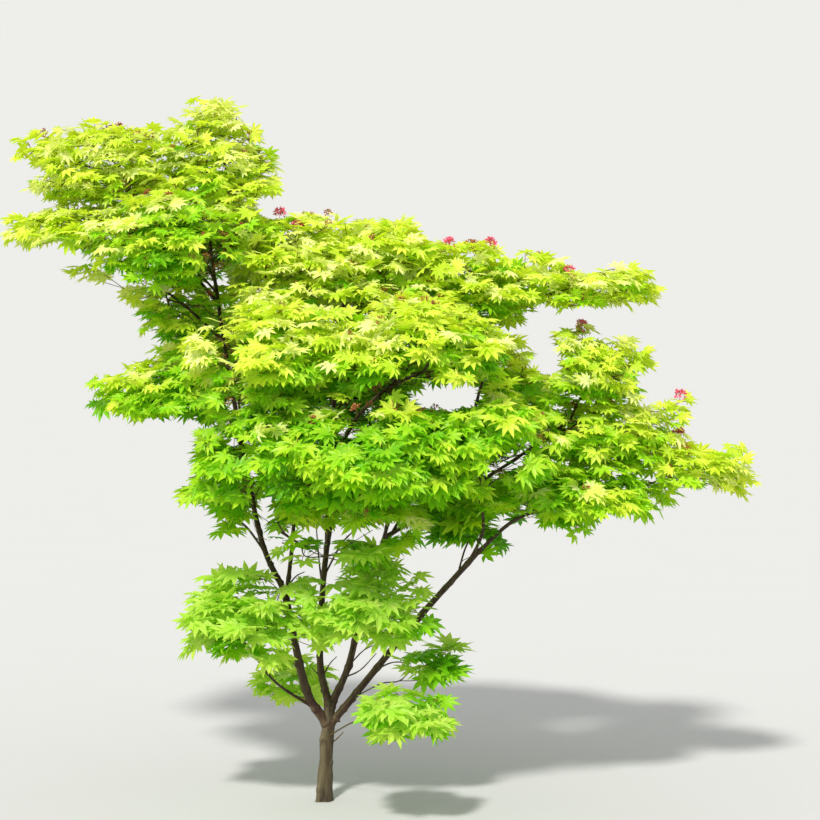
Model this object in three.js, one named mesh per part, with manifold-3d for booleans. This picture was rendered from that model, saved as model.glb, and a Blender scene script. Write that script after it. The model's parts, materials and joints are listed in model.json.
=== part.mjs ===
// A young full moon maple, rooted in the ground, as separate solids: a short trunk, its stems and boughs,
// and masses of leafy twigs. Millimetres, +Z up. The origin is the middle of the flat cut at ground level,
// +X is to the viewer's right and -Y faces the viewer.
import * as THREE from "three";
import { mergeVertices } from "three/addons/utils/BufferGeometryUtils.js";
import Module from "manifold-3d";

const wasm = await Module();
wasm.setup();

// Driving dimensions
const ROOT_FLARE = 1.24; // width at the ground, as a share of the trunk's own
const FLARE_HEIGHT = 0.3; // share of the trunk over which the root flare dies away
const LEAF_LENGTH = 226; // from the root of the stalk to the tip; each leaf stands for a spray
const FULL_LEAF_REACH = [200, 200, 118]; // a mass that reaches less far some way has smaller leaves
const LEAF_THICKNESS = 3; // at the palm of the leaf
const LEAF_BEND = 0.26; // how far the lobes hang, as a share of the length
const TWIG_TIP_RADIUS = 2.2;
const LEAF_GAP = 14; // between the roots of two leaves along a twig, and from a leaf's root to its blade
const TWIG_GROWTH = 0.42; // a twig's radius grows with the shoots it feeds to this power
const CLEARANCE = 0.3; // gap between a piece and the limb that carries it
const GUARD = 2.5; // how far leaves and twigs stay from the limbs and from other masses' stems
const CELL_MARGIN = 0.6; // how far a mass stays inside its own space
const SITE_SPACING = 260; // distance between shoots, which sets how many a mass has
const FEWEST_SHOOTS = 1.6;
const SITE_TRIES = 90; // places that are looked at for a mass's shoots
const SITE_MARGIN = 12; // how far a shoot's end stays inside its mass's own space
const LEAF_COUNT_SPACING = 53.4; // sets how many leaves a mass has, from its size
const STEM_END = 0.25; // how far back from the mass's middle to the limb its stem ends
const STEM_SINK = 0.25; // and how far below the middle, as a share of the upward reach
const STEM_ARCH = 0.1; // how high the stem arches, as a share of its length
const FORK_FOOT = 0.5; // radius of a twig's foot, sunk in its fork, as a share of the fork's
const TWIG_GUARD = 4; // radius that a new twig's way is tried with
const SHORTEST_TWIG = 45;
const PATH_WEIGHT = 0.35; // how much a long way back to the stem counts against a twig
const BLOSSOM_STALK = 34;
const BLOSSOM_RADIUS = 12;
const BLOSSOM_FLATNESS = 0.7; // its height as a share of its width
const LIMB_SIDES = 6;
const TRUNK_SIDES = 12;
const TWIG_SIDES = 3;
const STEPS_PER_SPAN = 2; // rings of a limb between two of its bends

// Finishes
const BARK = new THREE.MeshStandardMaterial({ color: 0x5b4a36, roughness: 0.85, metalness: 0 });
const SHOOTS = new THREE.MeshStandardMaterial({ color: 0xb4d92b, roughness: 0.55, metalness: 0 });

// The limbs. Each grows from a share of the length of the one that carries it, by way of its bends, to its
// tip. Widths are across the limb at its foot and at its tip.
const LIMBS = [
  { name: "trunk", bends: [[0, 0, -12], [4, 0, 90], [10, 2, 180]], tip: [16, 4, 262], width: [41, 31] },
  { name: "stem_left", on: "trunk", at: 0.76, bends: [[-38, -8, 278], [-70, -16, 400]],
    tip: [-100, -24, 558], width: [25, 18] },
  { name: "stem_leader", on: "stem_left", at: 1, bends: [[-160, -18, 690], [-210, 4, 930], [-255, 20, 1180]],
    tip: [-300, 18, 1500], width: [16, 8] },
  { name: "stem_inner", on: "stem_left", at: 0.97, bends: [[-80, -62, 680]], tip: [-62, -150, 880],
    width: [13, 8] },
  { name: "stem_middle", on: "trunk", at: 0.96, bends: [[-10, 22, 372], [2, 50, 620]], tip: [34, 70, 820],
    width: [21, 12] },
  { name: "stem_centre", on: "trunk", at: 0.93, bends: [[66, 14, 360], [104, 40, 520]], tip: [160, 76, 690],
    width: [21, 13] },
  { name: "stem_right", on: "trunk", at: 0.73, bends: [[76, -8, 276], [236, -22, 474]],
    tip: [404, -34, 664], width: [22, 14] },
  { name: "bough_shoulder", on: "stem_leader", at: 0.78, bends: [[-350, 6, 1300]], tip: [-414, -10, 1352],
    width: [8, 6] },
  { name: "bough_upper_left", on: "stem_leader", at: 0.86, bends: [[-370, 0, 1430]], tip: [-475, 0, 1548],
    width: [9, 6] },
  { name: "bough_tier", on: "stem_leader", at: 0.5, bends: [[-262, -30, 1050]], tip: [-330, -52, 1092],
    width: [9, 6] },
  { name: "bough_back_left", on: "stem_leader", at: 0.36, bends: [[-215, 110, 930]], tip: [-236, 220, 1050],
    width: [10, 7] },
  { name: "bough_front_left", on: "stem_inner", at: 0.97, bends: [[-84, -180, 990]],
    tip: [-130, -205, 1110], width: [8, 6] },
  { name: "bough_dome", on: "stem_middle", at: 0.97, bends: [[26, 66, 1010], [34, 44, 1190]],
    tip: [60, 30, 1350], width: [11, 7] },
  { name: "bough_arch", on: "stem_middle", at: 1, bends: [[62, 52, 970], [152, 20, 1080]],
    tip: [262, -14, 1138], width: [12, 8] },
  { name: "bough_back_middle", on: "stem_middle", at: 0.72, bends: [[6, 190, 840]], tip: [26, 300, 1010],
    width: [9, 7] },
  { name: "bough_front_middle", on: "stem_centre", at: 0.97, bends: [[180, -60, 800], [170, -150, 930]],
    tip: [150, -220, 1090], width: [10, 7] },
  { name: "bough_reach", on: "stem_centre", at: 1, bends: [[280, 76, 764], [470, 40, 880]],
    tip: [650, 12, 1010], width: [12, 7] },
  { name: "bough_upper_right", on: "bough_reach", at: 0.5, bends: [[392, 60, 1000], [440, 40, 1180]],
    tip: [486, 20, 1320], width: [9, 6] },
  { name: "bough_back_right", on: "stem_centre", at: 0.9, bends: [[230, 180, 780]], tip: [330, 250, 950],
    width: [9, 7] },
  { name: "bough_low_right", on: "stem_right", at: 1, bends: [[520, -36, 760], [690, -36, 790]],
    tip: [860, -24, 846], width: [11, 6] },
  { name: "bough_front_right", on: "stem_right", at: 0.97, bends: [[418, -100, 740]], tip: [400, -170, 850],
    width: [9, 6] },
  { name: "bough_low_left", on: "stem_left", at: 0.2, bends: [[-120, -36, 318]], tip: [-176, -60, 392],
    width: [8, 5] },
];

// The masses of leafy twigs. Each fills the part of an ellipsoid, given by its middle and its reach each
// way, that is nearer to it than to its neighbours, and its stem grows from a place on the limb that
// carries it.
const MASSES = [
  { name: "foliage_top", on: "stem_leader", at: 1, middle: [-290, 0, 1690], reach: [150, 175, 160] },
  { name: "foliage_top_right", on: "stem_leader", at: 0.93, middle: [-190, -20, 1560],
    reach: [125, 180, 130] },
  { name: "foliage_upper_left", on: "bough_upper_left", at: 1, middle: [-606, 10, 1668],
    reach: [248, 200, 122] },
  { name: "foliage_arm", on: "bough_upper_left", at: 0.9, middle: [-605, -40, 1505],
    reach: [255, 200, 80] },
  { name: "foliage_leader_front", on: "stem_leader", at: 0.88, middle: [-400, -210, 1480],
    reach: [215, 195, 130] },
  { name: "foliage_leader_back", on: "stem_leader", at: 0.9, middle: [-360, 220, 1500],
    reach: [225, 200, 140] },
  { name: "foliage_shoulder", on: "bough_shoulder", at: 1, middle: [-390, -30, 1305],
    reach: [178, 195, 108] },
  { name: "foliage_tier", on: "bough_tier", at: 1, middle: [-400, -80, 1088], reach: [208, 215, 104] },
  { name: "foliage_low_tier", on: "stem_leader", at: 0.2, middle: [-275, -40, 850],
    reach: [128, 190, 140] },
  { name: "foliage_dome_left", on: "stem_leader", at: 0.7, middle: [-90, -30, 1420], reach: [205, 225, 130],
    blossoms: 2 },
  { name: "foliage_dome_middle", on: "bough_dome", at: 1, middle: [190, 0, 1430], reach: [215, 225, 130],
    blossoms: 2 },
  { name: "foliage_dome_right", on: "bough_arch", at: 1, middle: [430, 20, 1350], reach: [195, 215, 115],
    blossoms: 1 },
  { name: "foliage_upper_right", on: "bough_upper_right", at: 1, middle: [690, 0, 1362],
    reach: [210, 190, 84], blossoms: 1 },
  { name: "foliage_front_left", on: "bough_front_left", at: 1, middle: [-130, -340, 1200],
    reach: [225, 235, 150] },
  { name: "foliage_front_right", on: "bough_front_middle", at: 1, middle: [255, -350, 1200],
    reach: [235, 235, 150] },
  { name: "foliage_right", on: "bough_reach", at: 1, middle: [700, -20, 1150], reach: [180, 195, 110],
    blossoms: 1 },
  { name: "foliage_far_right", on: "bough_reach", at: 0.94, middle: [740, 0, 970], reach: [235, 215, 105],
    blossoms: 1 },
  { name: "foliage_tip_right", on: "bough_low_right", at: 1, middle: [996, -20, 882],
    reach: [152, 150, 86] },
  { name: "foliage_low_right", on: "bough_low_right", at: 0.5, middle: [640, -100, 815],
    reach: [262, 205, 100] },
  { name: "foliage_middle_right", on: "bough_front_right", at: 1, middle: [420, -300, 970],
    reach: [215, 225, 140] },
  { name: "foliage_middle", on: "bough_front_middle", at: 0.7, middle: [130, -430, 950],
    reach: [215, 215, 140] },
  { name: "foliage_middle_left", on: "stem_inner", at: 1, middle: [-150, -310, 940],
    reach: [195, 215, 150] },
  { name: "foliage_lower", on: "stem_inner", at: 0.5, middle: [50, -180, 745], reach: [235, 205, 110] },
  { name: "foliage_lower_right", on: "stem_right", at: 0.9, middle: [400, 50, 760], reach: [165, 175, 92] },
  { name: "foliage_hanging", on: "stem_centre", at: 0.6, middle: [150, -190, 540], reach: [175, 175, 120] },
  { name: "foliage_low_left", on: "bough_low_left", at: 1, middle: [-220, -110, 505],
    reach: [175, 175, 140] },
  { name: "foliage_low_front", on: "trunk", at: 0.62, middle: [215, -320, 290], reach: [150, 165, 80] },
  { name: "foliage_low_side", on: "stem_right", at: 0.32, middle: [300, -70, 375], reach: [115, 125, 75] },
  { name: "foliage_low_back", on: "stem_left", at: 0.16, middle: [-90, 160, 290], reach: [125, 135, 70] },
  { name: "foliage_back_left", on: "bough_back_left", at: 1, middle: [-260, 420, 1160],
    reach: [245, 235, 150] },
  { name: "foliage_back_middle", on: "bough_back_middle", at: 1, middle: [90, 500, 1100],
    reach: [235, 225, 150] },
  { name: "foliage_back_right", on: "bough_back_right", at: 1, middle: [440, 400, 1080],
    reach: [235, 235, 150] },
  { name: "foliage_back_top", on: "bough_dome", at: 0.9, middle: [110, 310, 1350], reach: [245, 205, 120] },
  { name: "foliage_back_low", on: "bough_back_right", at: 0.6, middle: [150, 360, 840],
    reach: [225, 205, 120] },
];

// The leaf's outline about its palm, in degrees from the tip and as shares of the palm's distance to the
// tip: the notches beside the stalk, and five lobes with a notch between each two. The stalk's root closes
// it.
const STALK_SHARE = 0.44; // of the leaf's length, from the root of the stalk to the palm
const LEAF_OUTLINE = [
  [150, 0.16], [104, 0.66], [77, 0.36], [52, 0.92], [25, 0.4],
  [0, 1], [-25, 0.4], [-52, 0.92], [-77, 0.36], [-104, 0.66], [-150, 0.16],
];

const vector = ([x, y, z]) => new THREE.Vector3(x, y, z);
const UP = new THREE.Vector3(0, 0, 1);
const ASKEW = new THREE.Vector3(0.01, 0.01, 0); // gives an upright tube a first side too

// Seeded numbers from 0 to 1, the same on every run.
function seeded(seed) {
  let state = seed >>> 0;
  return () => {
    state = (Math.imul(state, 1664525) + 1013904223) >>> 0;
    return state / 4294967296;
  };
}

// A three.js geometry as a manifold-3d solid.
function solidOf(geometry) {
  const bare = geometry.clone();
  bare.deleteAttribute("normal");
  bare.deleteAttribute("uv");
  const merged = mergeVertices(bare, 1e-4);
  return new wasm.Manifold(
    new wasm.Mesh({
      numProp: 3,
      vertProperties: new Float32Array(merged.getAttribute("position").array),
      triVerts: new Uint32Array(merged.index.array),
    }),
  );
}

// A manifold-3d solid as a three.js mesh.
function meshOf(name, solid, material) {
  const made = solid.getMesh();
  const geometry = new THREE.BufferGeometry();
  geometry.setAttribute("position", new THREE.BufferAttribute(new Float32Array(made.vertProperties), 3));
  geometry.setIndex(new THREE.BufferAttribute(new Uint32Array(made.triVerts), 1));
  geometry.computeVertexNormals();
  const mesh = new THREE.Mesh(geometry, material);
  mesh.name = name;
  return mesh;
}

function cornersOf(geometry) {
  const place = geometry.getAttribute("position");
  return Array.from({ length: place.count }, (_, i) => new THREE.Vector3().fromBufferAttribute(place, i));
}

// A solid cut by others: the largest of the bodies that the cut leaves.
function cutSolid(solid, others) {
  const bodies = solid.subtract(wasm.Manifold.union(others)).decompose();
  return bodies.reduce((a, b) => (a.volume() > b.volume() ? a : b));
}

const curveThrough = (points) => new THREE.CatmullRomCurve3(points, false, "catmullrom", 0.5);

// A cylinder bent along a curve, with a radius for each share of the way along it. Its end can go on by an
// overrun past the curve's end.
function taperedTube(curve, radiusAt, sides, steps, overrun = 0) {
  const rings = [];
  let side = curve.getTangent(0).cross(UP).add(ASKEW).normalize();
  for (let k = 0; k <= steps; k++) {
    const along = curve.getTangent(k / steps);
    side = side.clone().addScaledVector(along, -side.dot(along)).normalize();
    const over = side.clone().cross(along);
    rings.push({ at: curve.getPoint(k / steps), side, over, radius: radiusAt(k / steps) });
  }
  rings[steps].at.addScaledVector(curve.getTangent(1), overrun);
  const tube = new THREE.CylinderGeometry(1, 1, 1, sides, steps);
  const place = tube.getAttribute("position");
  for (let i = 0; i < place.count; i++) {
    const ring = rings[Math.round((place.getY(i) + 0.5) * steps)];
    const at = ring.at
      .clone()
      .addScaledVector(ring.side, place.getX(i) * ring.radius)
      .addScaledVector(ring.over, place.getZ(i) * ring.radius);
    place.setXYZ(i, at.x, at.y, at.z);
  }
  return tube;
}

// A limb's width narrows evenly from foot to tip, and the trunk's foot flares.
function limbRadius(limb, share) {
  const width = THREE.MathUtils.lerp(limb.width[0], limb.width[1], share);
  if (limb.on) return width / 2;
  const flare = Math.max(0, 1 - share / FLARE_HEIGHT) ** 2;
  return (width / 2) * (1 + (ROOT_FLARE - 1) * flare);
}

// Where each limb runs, from the middle of the one that carries it.
const limbs = new Map();
for (const limb of LIMBS) {
  const bends = limb.bends.map(vector);
  if (limb.on) bends.unshift(limbs.get(limb.on).curve.getPoint(limb.at));
  limbs.set(limb.name, { ...limb, curve: curveThrough([...bends, vector(limb.tip)]), spans: bends.length });
}

// A limb's solid, thicker all round and longer at its tip by an allowance.
function limbSolid(limb, allowance) {
  const sides = limb.on ? LIMB_SIDES : TRUNK_SIDES;
  const steps = limb.spans * STEPS_PER_SPAN;
  const radiusAt = (share) => limbRadius(limb, share) + allowance;
  return solidOf(taperedTube(limb.curve, radiusAt, sides, steps, allowance));
}

// The trunk is cut flat at ground level. Every other limb is seated on the one that carries it, and beside
// the limbs before it, with a clearance.
const belowGround = solidOf(new THREE.BoxGeometry(200, 200, 50).translate(0, 0, -25));
const earlierFits = [belowGround];
for (const limb of limbs.values()) {
  limb.fit = limbSolid(limb, CLEARANCE);
  limb.guard = limbSolid(limb, GUARD);
  limb.solid = cutSolid(limbSolid(limb, 0), earlierFits);
  earlierFits.push(limb.fit);
}

// Half spaces that part each mass's space from its neighbours' spaces, so that no two can meet. They lean
// towards the level, as the tiers of leaves do.
const PARTING_LEAN = new THREE.Vector3(1, 1, 2);
function partings(mass) {
  return MASSES.filter((other) => other !== mass).map((other) => {
    const middle = vector(mass.middle);
    const away = vector(other.middle).sub(middle);
    const towards = away.clone().normalize();
    const extent = (m) => 1 / towards.clone().divide(vector(m.reach)).length();
    const share = extent(mass) / (extent(mass) + extent(other));
    const normal = away.clone().multiply(PARTING_LEAN).normalize();
    const at = middle.addScaledVector(away, share);
    return { normal, limit: normal.dot(at) - CELL_MARGIN };
  });
}

// Whether a point is in a mass's own space, by at least a margin.
function isInside(space, point, margin) {
  const share = point.clone().sub(space.middle).divide(space.reach).length();
  if (share > 1 - margin / Math.min(space.reach.x, space.reach.y, space.reach.z)) return false;
  return space.partings.every(({ normal, limit }) => normal.dot(point) < limit - margin);
}

// Places for shoots, spread evenly through the mass by a low-discrepancy series that the seed shifts, and
// far enough inside its reach for the leaves to fit.
const SERIES = [0.8191725134, 0.6710436067, 0.5497004779];
const SHOOT_REACH = new THREE.Vector3(0.5, 0.5, 0.7); // shares of the mass's reach
const INNERMOST = 0.1; // share of the volume, round the middle, that stays free of shoots
function shootSite(space, index) {
  const [u, v, w] = SERIES.map((step, axis) => (space.start[axis] + step * (index + 1)) % 1);
  const height = 1 - 2 * u;
  const round = Math.sqrt(1 - height * height);
  const depth = Math.cbrt(INNERMOST + (1 - INNERMOST) * w);
  return new THREE.Vector3(round * Math.cos(2 * Math.PI * v), round * Math.sin(2 * Math.PI * v), height)
    .multiplyScalar(depth)
    .multiply(space.reach)
    .multiply(SHOOT_REACH)
    .add(space.middle);
}

// The shoot that makes a mass's furthest tip, straight on from its limb.
function furthestSite(space) {
  const reach = space.reach.clone().multiply(SHOOT_REACH);
  const ahead = space.middle.clone().sub(space.stem[0]).divide(reach).normalize();
  return space.middle.clone().add(ahead.multiply(reach));
}

// Each mass with its own space, its stem, and how many shoots and leaves it should have.
const FIRST_SEED = 17;
const spaces = MASSES.map((mass, index) => {
  const random = seeded(index * 7919 + FIRST_SEED);
  const root = limbs.get(mass.on).curve.getPoint(mass.at);
  const middle = vector(mass.middle);
  const heart = middle.clone().lerp(root, STEM_END).addScaledVector(UP, -STEM_SINK * mass.reach[2]);
  const bend = root.clone().lerp(heart, 0.5).addScaledVector(UP, STEM_ARCH * root.distanceTo(heart));
  const space = {
    ...mass,
    random,
    start: [random(), random(), random()],
    middle,
    reach: vector(mass.reach),
    partings: partings(mass),
    stem: [root, bend, heart],
    leafLength: LEAF_LENGTH * Math.min(1, ...mass.reach.map((far, axis) => far / FULL_LEAF_REACH[axis])),
  };
  const meanReach = Math.cbrt(mass.reach[0] * mass.reach[1] * mass.reach[2]);
  const volume = (4 / 3) * Math.PI * meanReach ** 3;
  space.leafCount = Math.round((meanReach / LEAF_COUNT_SPACING) ** 2);
  space.shootCount = Math.round(FEWEST_SHOOTS + volume / SITE_SPACING ** 3);
  space.stemGuard = solidOf(taperedTube(curveThrough(space.stem), () => TWIG_GUARD + GUARD, LIMB_SIDES, 6));
  return space;
});

// Whether a solid meets any of the others.
function meetsAny(solid, others) {
  const box = solid.boundingBox();
  return others.some((other) => {
    const next = other.boundingBox();
    const isNear = [0, 1, 2].every((k) => box.min[k] < next.max[k] && box.max[k] > next.min[k]);
    return isNear && !solid.intersect(other).isEmpty();
  });
}

// What a mass's leaves and twigs keep clear of: every limb and the other masses' stems.
function guardsFor(space) {
  const stems = spaces.filter((other) => other !== space).map((other) => other.stemGuard);
  return [...[...limbs.values()].map((limb) => limb.guard), ...stems];
}

// The growing rule: of all the places still without a shoot, the one with the cheapest way back to the
// stem is joined next, where a way costs its new length and a share of the length it already has to the
// limb.
function growTwigs(space) {
  const nodes = [];
  const guards = guardsFor(space);
  const addNode = (at, parent) => {
    const path = parent ? parent.path + parent.at.distanceTo(at) : 0;
    const node = { at, parent, path, children: [], tips: 0, isStem: nodes.length < 3 };
    nodes.push(node);
    if (parent) parent.children.push(node);
    return node;
  };
  const stem = curveThrough(space.stem);
  let last = addNode(stem.getPoint(0), null);
  for (const share of [0.5, 1]) last = addNode(stem.getPoint(share), last);
  let places = [];
  for (let index = 0; index < SITE_TRIES && places.length < space.shootCount; index++) {
    const place = index ? shootSite(space, index) : furthestSite(space);
    if (isInside(space, place, SITE_MARGIN)) places.push(place);
  }
  while (places.length) {
    let best = { cost: Infinity };
    for (const place of places) {
      for (const node of nodes.slice(1)) {
        const cost = node.at.distanceTo(place) + PATH_WEIGHT * node.path;
        if (cost < best.cost) best = { cost, place, node };
      }
    }
    places = places.filter((place) => place !== best.place);
    const twig = curveThrough([best.node.at, best.place]);
    const isHeld = best.node.isStem || isInside(space, best.node.at, 0);
    if (best.node.at.distanceTo(best.place) < SHORTEST_TWIG) continue;
    const wide = solidOf(taperedTube(twig, () => TWIG_GUARD, TWIG_SIDES, 1));
    if (isHeld && !meetsAny(wide, guards)) addNode(best.place, best.node);
  }
  for (const node of nodes) {
    if (node.children.length) continue;
    for (let step = node; step; step = step.parent) step.tips += 1;
  }
  return nodes;
}

const twigRadius = (node) => TWIG_TIP_RADIUS * node.tips ** TWIG_GROWTH;

// Twigs as tubes: each follows the fullest shoot on from every fork, and the others start tubes of their
// own.
function twigChains(nodes) {
  const chains = [];
  const follow = (chain) => {
    const end = chain[chain.length - 1];
    const [main, ...others] = [...end.children].sort((a, b) => b.tips - a.tips);
    for (const other of others) chains.push(follow([end, other]));
    return main ? follow([...chain, main]) : chain;
  };
  chains.push(follow([nodes[0]]));
  return chains;
}

function twigSolid(chain) {
  const radii = chain.map(twigRadius);
  if (chain[0].parent) radii[0] = Math.min(radii[0] * FORK_FOOT, radii[1]);
  const radiusAt = (share) => radii[Math.round(share * (chain.length - 1))];
  return solidOf(taperedTube(curveThrough(chain.map((n) => n.at)), radiusAt, TWIG_SIDES, chain.length - 1));
}

// One leaf: a flattened sphere of two rows whose rim takes the outline of a palm-shaped leaf. The root of
// its stalk is sunk in the twig, and its blade hangs from the palm, the lobes' tips lowest.
function leafGeometry(root, { stalk, along, normal }, length) {
  const palmRadius = length * (1 - STALK_SHARE);
  const palm = root.clone().addScaledVector(stalk, length * STALK_SHARE);
  const across = along.clone().cross(normal);
  const rim = LEAF_OUTLINE.map(([degrees, share]) => {
    const angle = THREE.MathUtils.degToRad(degrees);
    const out = share * palmRadius;
    return palm
      .clone()
      .addScaledVector(along, out * Math.cos(angle))
      .addScaledVector(across, out * Math.sin(angle))
      .addScaledVector(normal, -LEAF_BEND * share * out);
  });
  rim.push(root);
  const leaf = new THREE.SphereGeometry(1, rim.length, 2);
  const place = leaf.getAttribute("position");
  for (let i = 0; i < place.count; i++) {
    const row = Math.floor(i / (rim.length + 1));
    const pole = palm.clone().addScaledVector(normal, (1 - row) * (LEAF_THICKNESS / 2));
    const at = row === 1 ? rim[(i % (rim.length + 1)) % rim.length] : pole;
    place.setXYZ(i, at.x, at.y, at.z);
  }
  return leaf;
}

// How a leaf lies on its bearing: the stalk rises or sinks, and the blade hangs, more so low in the mass, but
// never folds back under the stalk.
const STALK_PITCH = { middle: 8, spread: 70 }; // degrees above level
const BLADE_PITCH = { middle: -27, rise: 13, spread: 24 };
const BLADE_ROLL = 22; // degrees between the furthest rolls to left and right
const MOST_BEND = 64; // degrees from the stalk down to the blade
function leafPose(space, root, bearing) {
  const height = (root.z - space.middle.z) / space.reach.z;
  const flat = new THREE.Vector3(Math.cos(bearing), Math.sin(bearing), 0);
  const pitched = (degrees) => {
    const pitch = THREE.MathUtils.degToRad(degrees);
    return flat.clone().multiplyScalar(Math.cos(pitch)).addScaledVector(UP, Math.sin(pitch));
  };
  const rise = STALK_PITCH.middle + STALK_PITCH.spread * (space.random() - 0.5);
  const hang = BLADE_PITCH.middle + BLADE_PITCH.rise * height + BLADE_PITCH.spread * (space.random() - 0.5);
  const stalk = pitched(rise);
  const along = pitched(Math.max(hang, rise - MOST_BEND));
  const level = UP.clone().cross(flat);
  const roll = THREE.MathUtils.degToRad(BLADE_ROLL * (space.random() - 0.5));
  const normal = along.clone().cross(level).applyAxisAngle(along, roll);
  return { stalk, along, normal };
}

// Leaves with their roots sunk in the shoots, lying mostly outwards. One that would leave the mass's
// space, or meet a limb, a twig or a leaf, is skipped and another place, bearing and length tried.
const LEAF_TRIES = 60; // for each leaf that the mass should have
const LEAF_SPREAD = 4.4; // radians, all the bearings that leaves take about straight outwards
const LEAF_PLACES = [0.05, 0.9]; // shares of a shoot, back from its end, between which leaves root
const LEAF_SIZES = [1.06, 0.5]; // shares of the leaf's length, from the first try to the last
function leafSolids(space, shoots, twigs) {
  const guards = guardsFor(space);
  const leaves = [];
  const roots = [];
  const tries = LEAF_TRIES * space.leafCount;
  for (let k = 0; k < tries && leaves.length < space.leafCount; k++) {
    const node = shoots[k % shoots.length];
    const back = node.parent.at.clone().sub(node.at);
    const root = node.at.clone().addScaledVector(back, THREE.MathUtils.lerp(...LEAF_PLACES, space.random()));
    const outward = Math.atan2(root.y - space.middle.y, root.x - space.middle.x);
    const pose = leafPose(space, root, outward + LEAF_SPREAD * (space.random() - 0.5));
    const length = space.leafLength * THREE.MathUtils.lerp(...LEAF_SIZES, k / tries);
    const leaf = leafGeometry(root, pose, length);
    if (!cornersOf(leaf).every((corner) => isInside(space, corner, 0))) continue;
    if (roots.some((other) => other.distanceTo(root) < LEAF_GAP)) continue;
    const solid = solidOf(leaf);
    if (meetsAny(solid, leaves) || meetsAny(solid, guards)) continue;
    const bladeRoot = root.clone().addScaledVector(pose.stalk, LEAF_GAP);
    if (meetsAny(solidOf(leafGeometry(bladeRoot, pose, length - LEAF_GAP)), twigs)) continue;
    leaves.push(solid);
    roots.push(root);
  }
  return leaves;
}

// A tuft of blossom held upright on its stalk above a shoot.
function blossomSolids(node) {
  const head = node.at.clone().addScaledVector(UP, BLOSSOM_STALK);
  const stalk = taperedTube(curveThrough([node.at, head]), () => TWIG_TIP_RADIUS, TWIG_SIDES, 1);
  const tuft = new THREE.IcosahedronGeometry(BLOSSOM_RADIUS, 0).scale(1, 1, BLOSSOM_FLATNESS);
  return [solidOf(stalk), solidOf(tuft.translate(head.x, head.y, head.z))];
}

// The solid of one mass: twigs, leaves and blossom fused, and seated on its limb.
function massSolid(space) {
  const nodes = growTwigs(space);
  const shoots = nodes.filter((node) => node.parent && (!node.isStem || !node.children.length));
  const twigs = twigChains(nodes).map(twigSolid);
  const leaves = leafSolids(space, shoots, twigs);
  const highest = [...shoots].sort((a, b) => b.at.z - a.at.z).slice(0, space.blossoms ?? 0);
  const blossoms = highest.flatMap(blossomSolids);
  const fits = [...limbs.values()].map((limb) => limb.fit);
  return cutSolid(wasm.Manifold.union([...twigs, ...leaves, ...blossoms]), fits);
}

const maple = new THREE.Group();
for (const limb of limbs.values()) maple.add(meshOf(limb.name, limb.solid, BARK));
for (const space of spaces) maple.add(meshOf(space.name, massSolid(space), SHOOTS));

export default maple;
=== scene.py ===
"""A young full moon maple, rooted in the ground: bark, twigs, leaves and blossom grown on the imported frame.

Everything is in metres in the frame's own axes: +Z up, +X to the viewer's right, -Y towards the viewer.
"""

import json
import logging
import math
from dataclasses import dataclass, field
from enum import Enum

import bpy
import numpy as np
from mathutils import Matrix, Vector, noise

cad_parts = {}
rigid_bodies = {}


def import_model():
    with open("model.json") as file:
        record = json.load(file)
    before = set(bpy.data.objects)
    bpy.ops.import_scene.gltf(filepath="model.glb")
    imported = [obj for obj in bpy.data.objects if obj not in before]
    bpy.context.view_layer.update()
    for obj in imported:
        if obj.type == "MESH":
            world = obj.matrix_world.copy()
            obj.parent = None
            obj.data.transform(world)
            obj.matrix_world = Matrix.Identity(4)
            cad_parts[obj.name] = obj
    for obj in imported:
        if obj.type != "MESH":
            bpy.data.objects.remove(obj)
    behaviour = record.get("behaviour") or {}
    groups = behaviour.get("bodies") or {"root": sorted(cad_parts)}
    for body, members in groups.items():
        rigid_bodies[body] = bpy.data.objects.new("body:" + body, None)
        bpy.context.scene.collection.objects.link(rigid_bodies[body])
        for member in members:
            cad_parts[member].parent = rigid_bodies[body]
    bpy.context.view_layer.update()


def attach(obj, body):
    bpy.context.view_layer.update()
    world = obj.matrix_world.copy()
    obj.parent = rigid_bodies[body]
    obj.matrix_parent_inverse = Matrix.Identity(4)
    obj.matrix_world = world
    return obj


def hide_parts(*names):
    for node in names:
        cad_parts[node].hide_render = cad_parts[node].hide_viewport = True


log = logging.getLogger("maple")

BODY = "root"
UP = np.array((0.0, 0.0, 1.0))
EYE = np.array((0.228, -6.8, 1.5))


# Where the limbs run and where the foliage masses are


class Part(Enum):
    """A part of the crown whose masses run into each other."""

    LEADER = "leader"
    DOME = "dome"
    RIGHT = "right"


class Slot(Enum):
    """A material slot of the record."""

    TRUNK_BARK = "trunk_bark"
    BOUGH_BARK = "bough_bark"
    FOLIAGE = "foliage"


@dataclass(frozen=True)
class Limb:
    """The trunk, a stem or a bough: what carries it, how far along that, its bends, tip and two widths."""

    name: str
    on: str
    at: float
    bends: tuple[tuple[float, float, float], ...]
    tip: tuple[float, float, float]
    width: tuple[float, float]


@dataclass(frozen=True)
class Mass:
    """A mass of foliage: its limb, how far along that, its middle, its reach, and the part it runs into."""

    name: str
    on: str
    at: float
    middle: tuple[float, float, float]
    reach: tuple[float, float, float]
    part: Part | None = None


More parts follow.
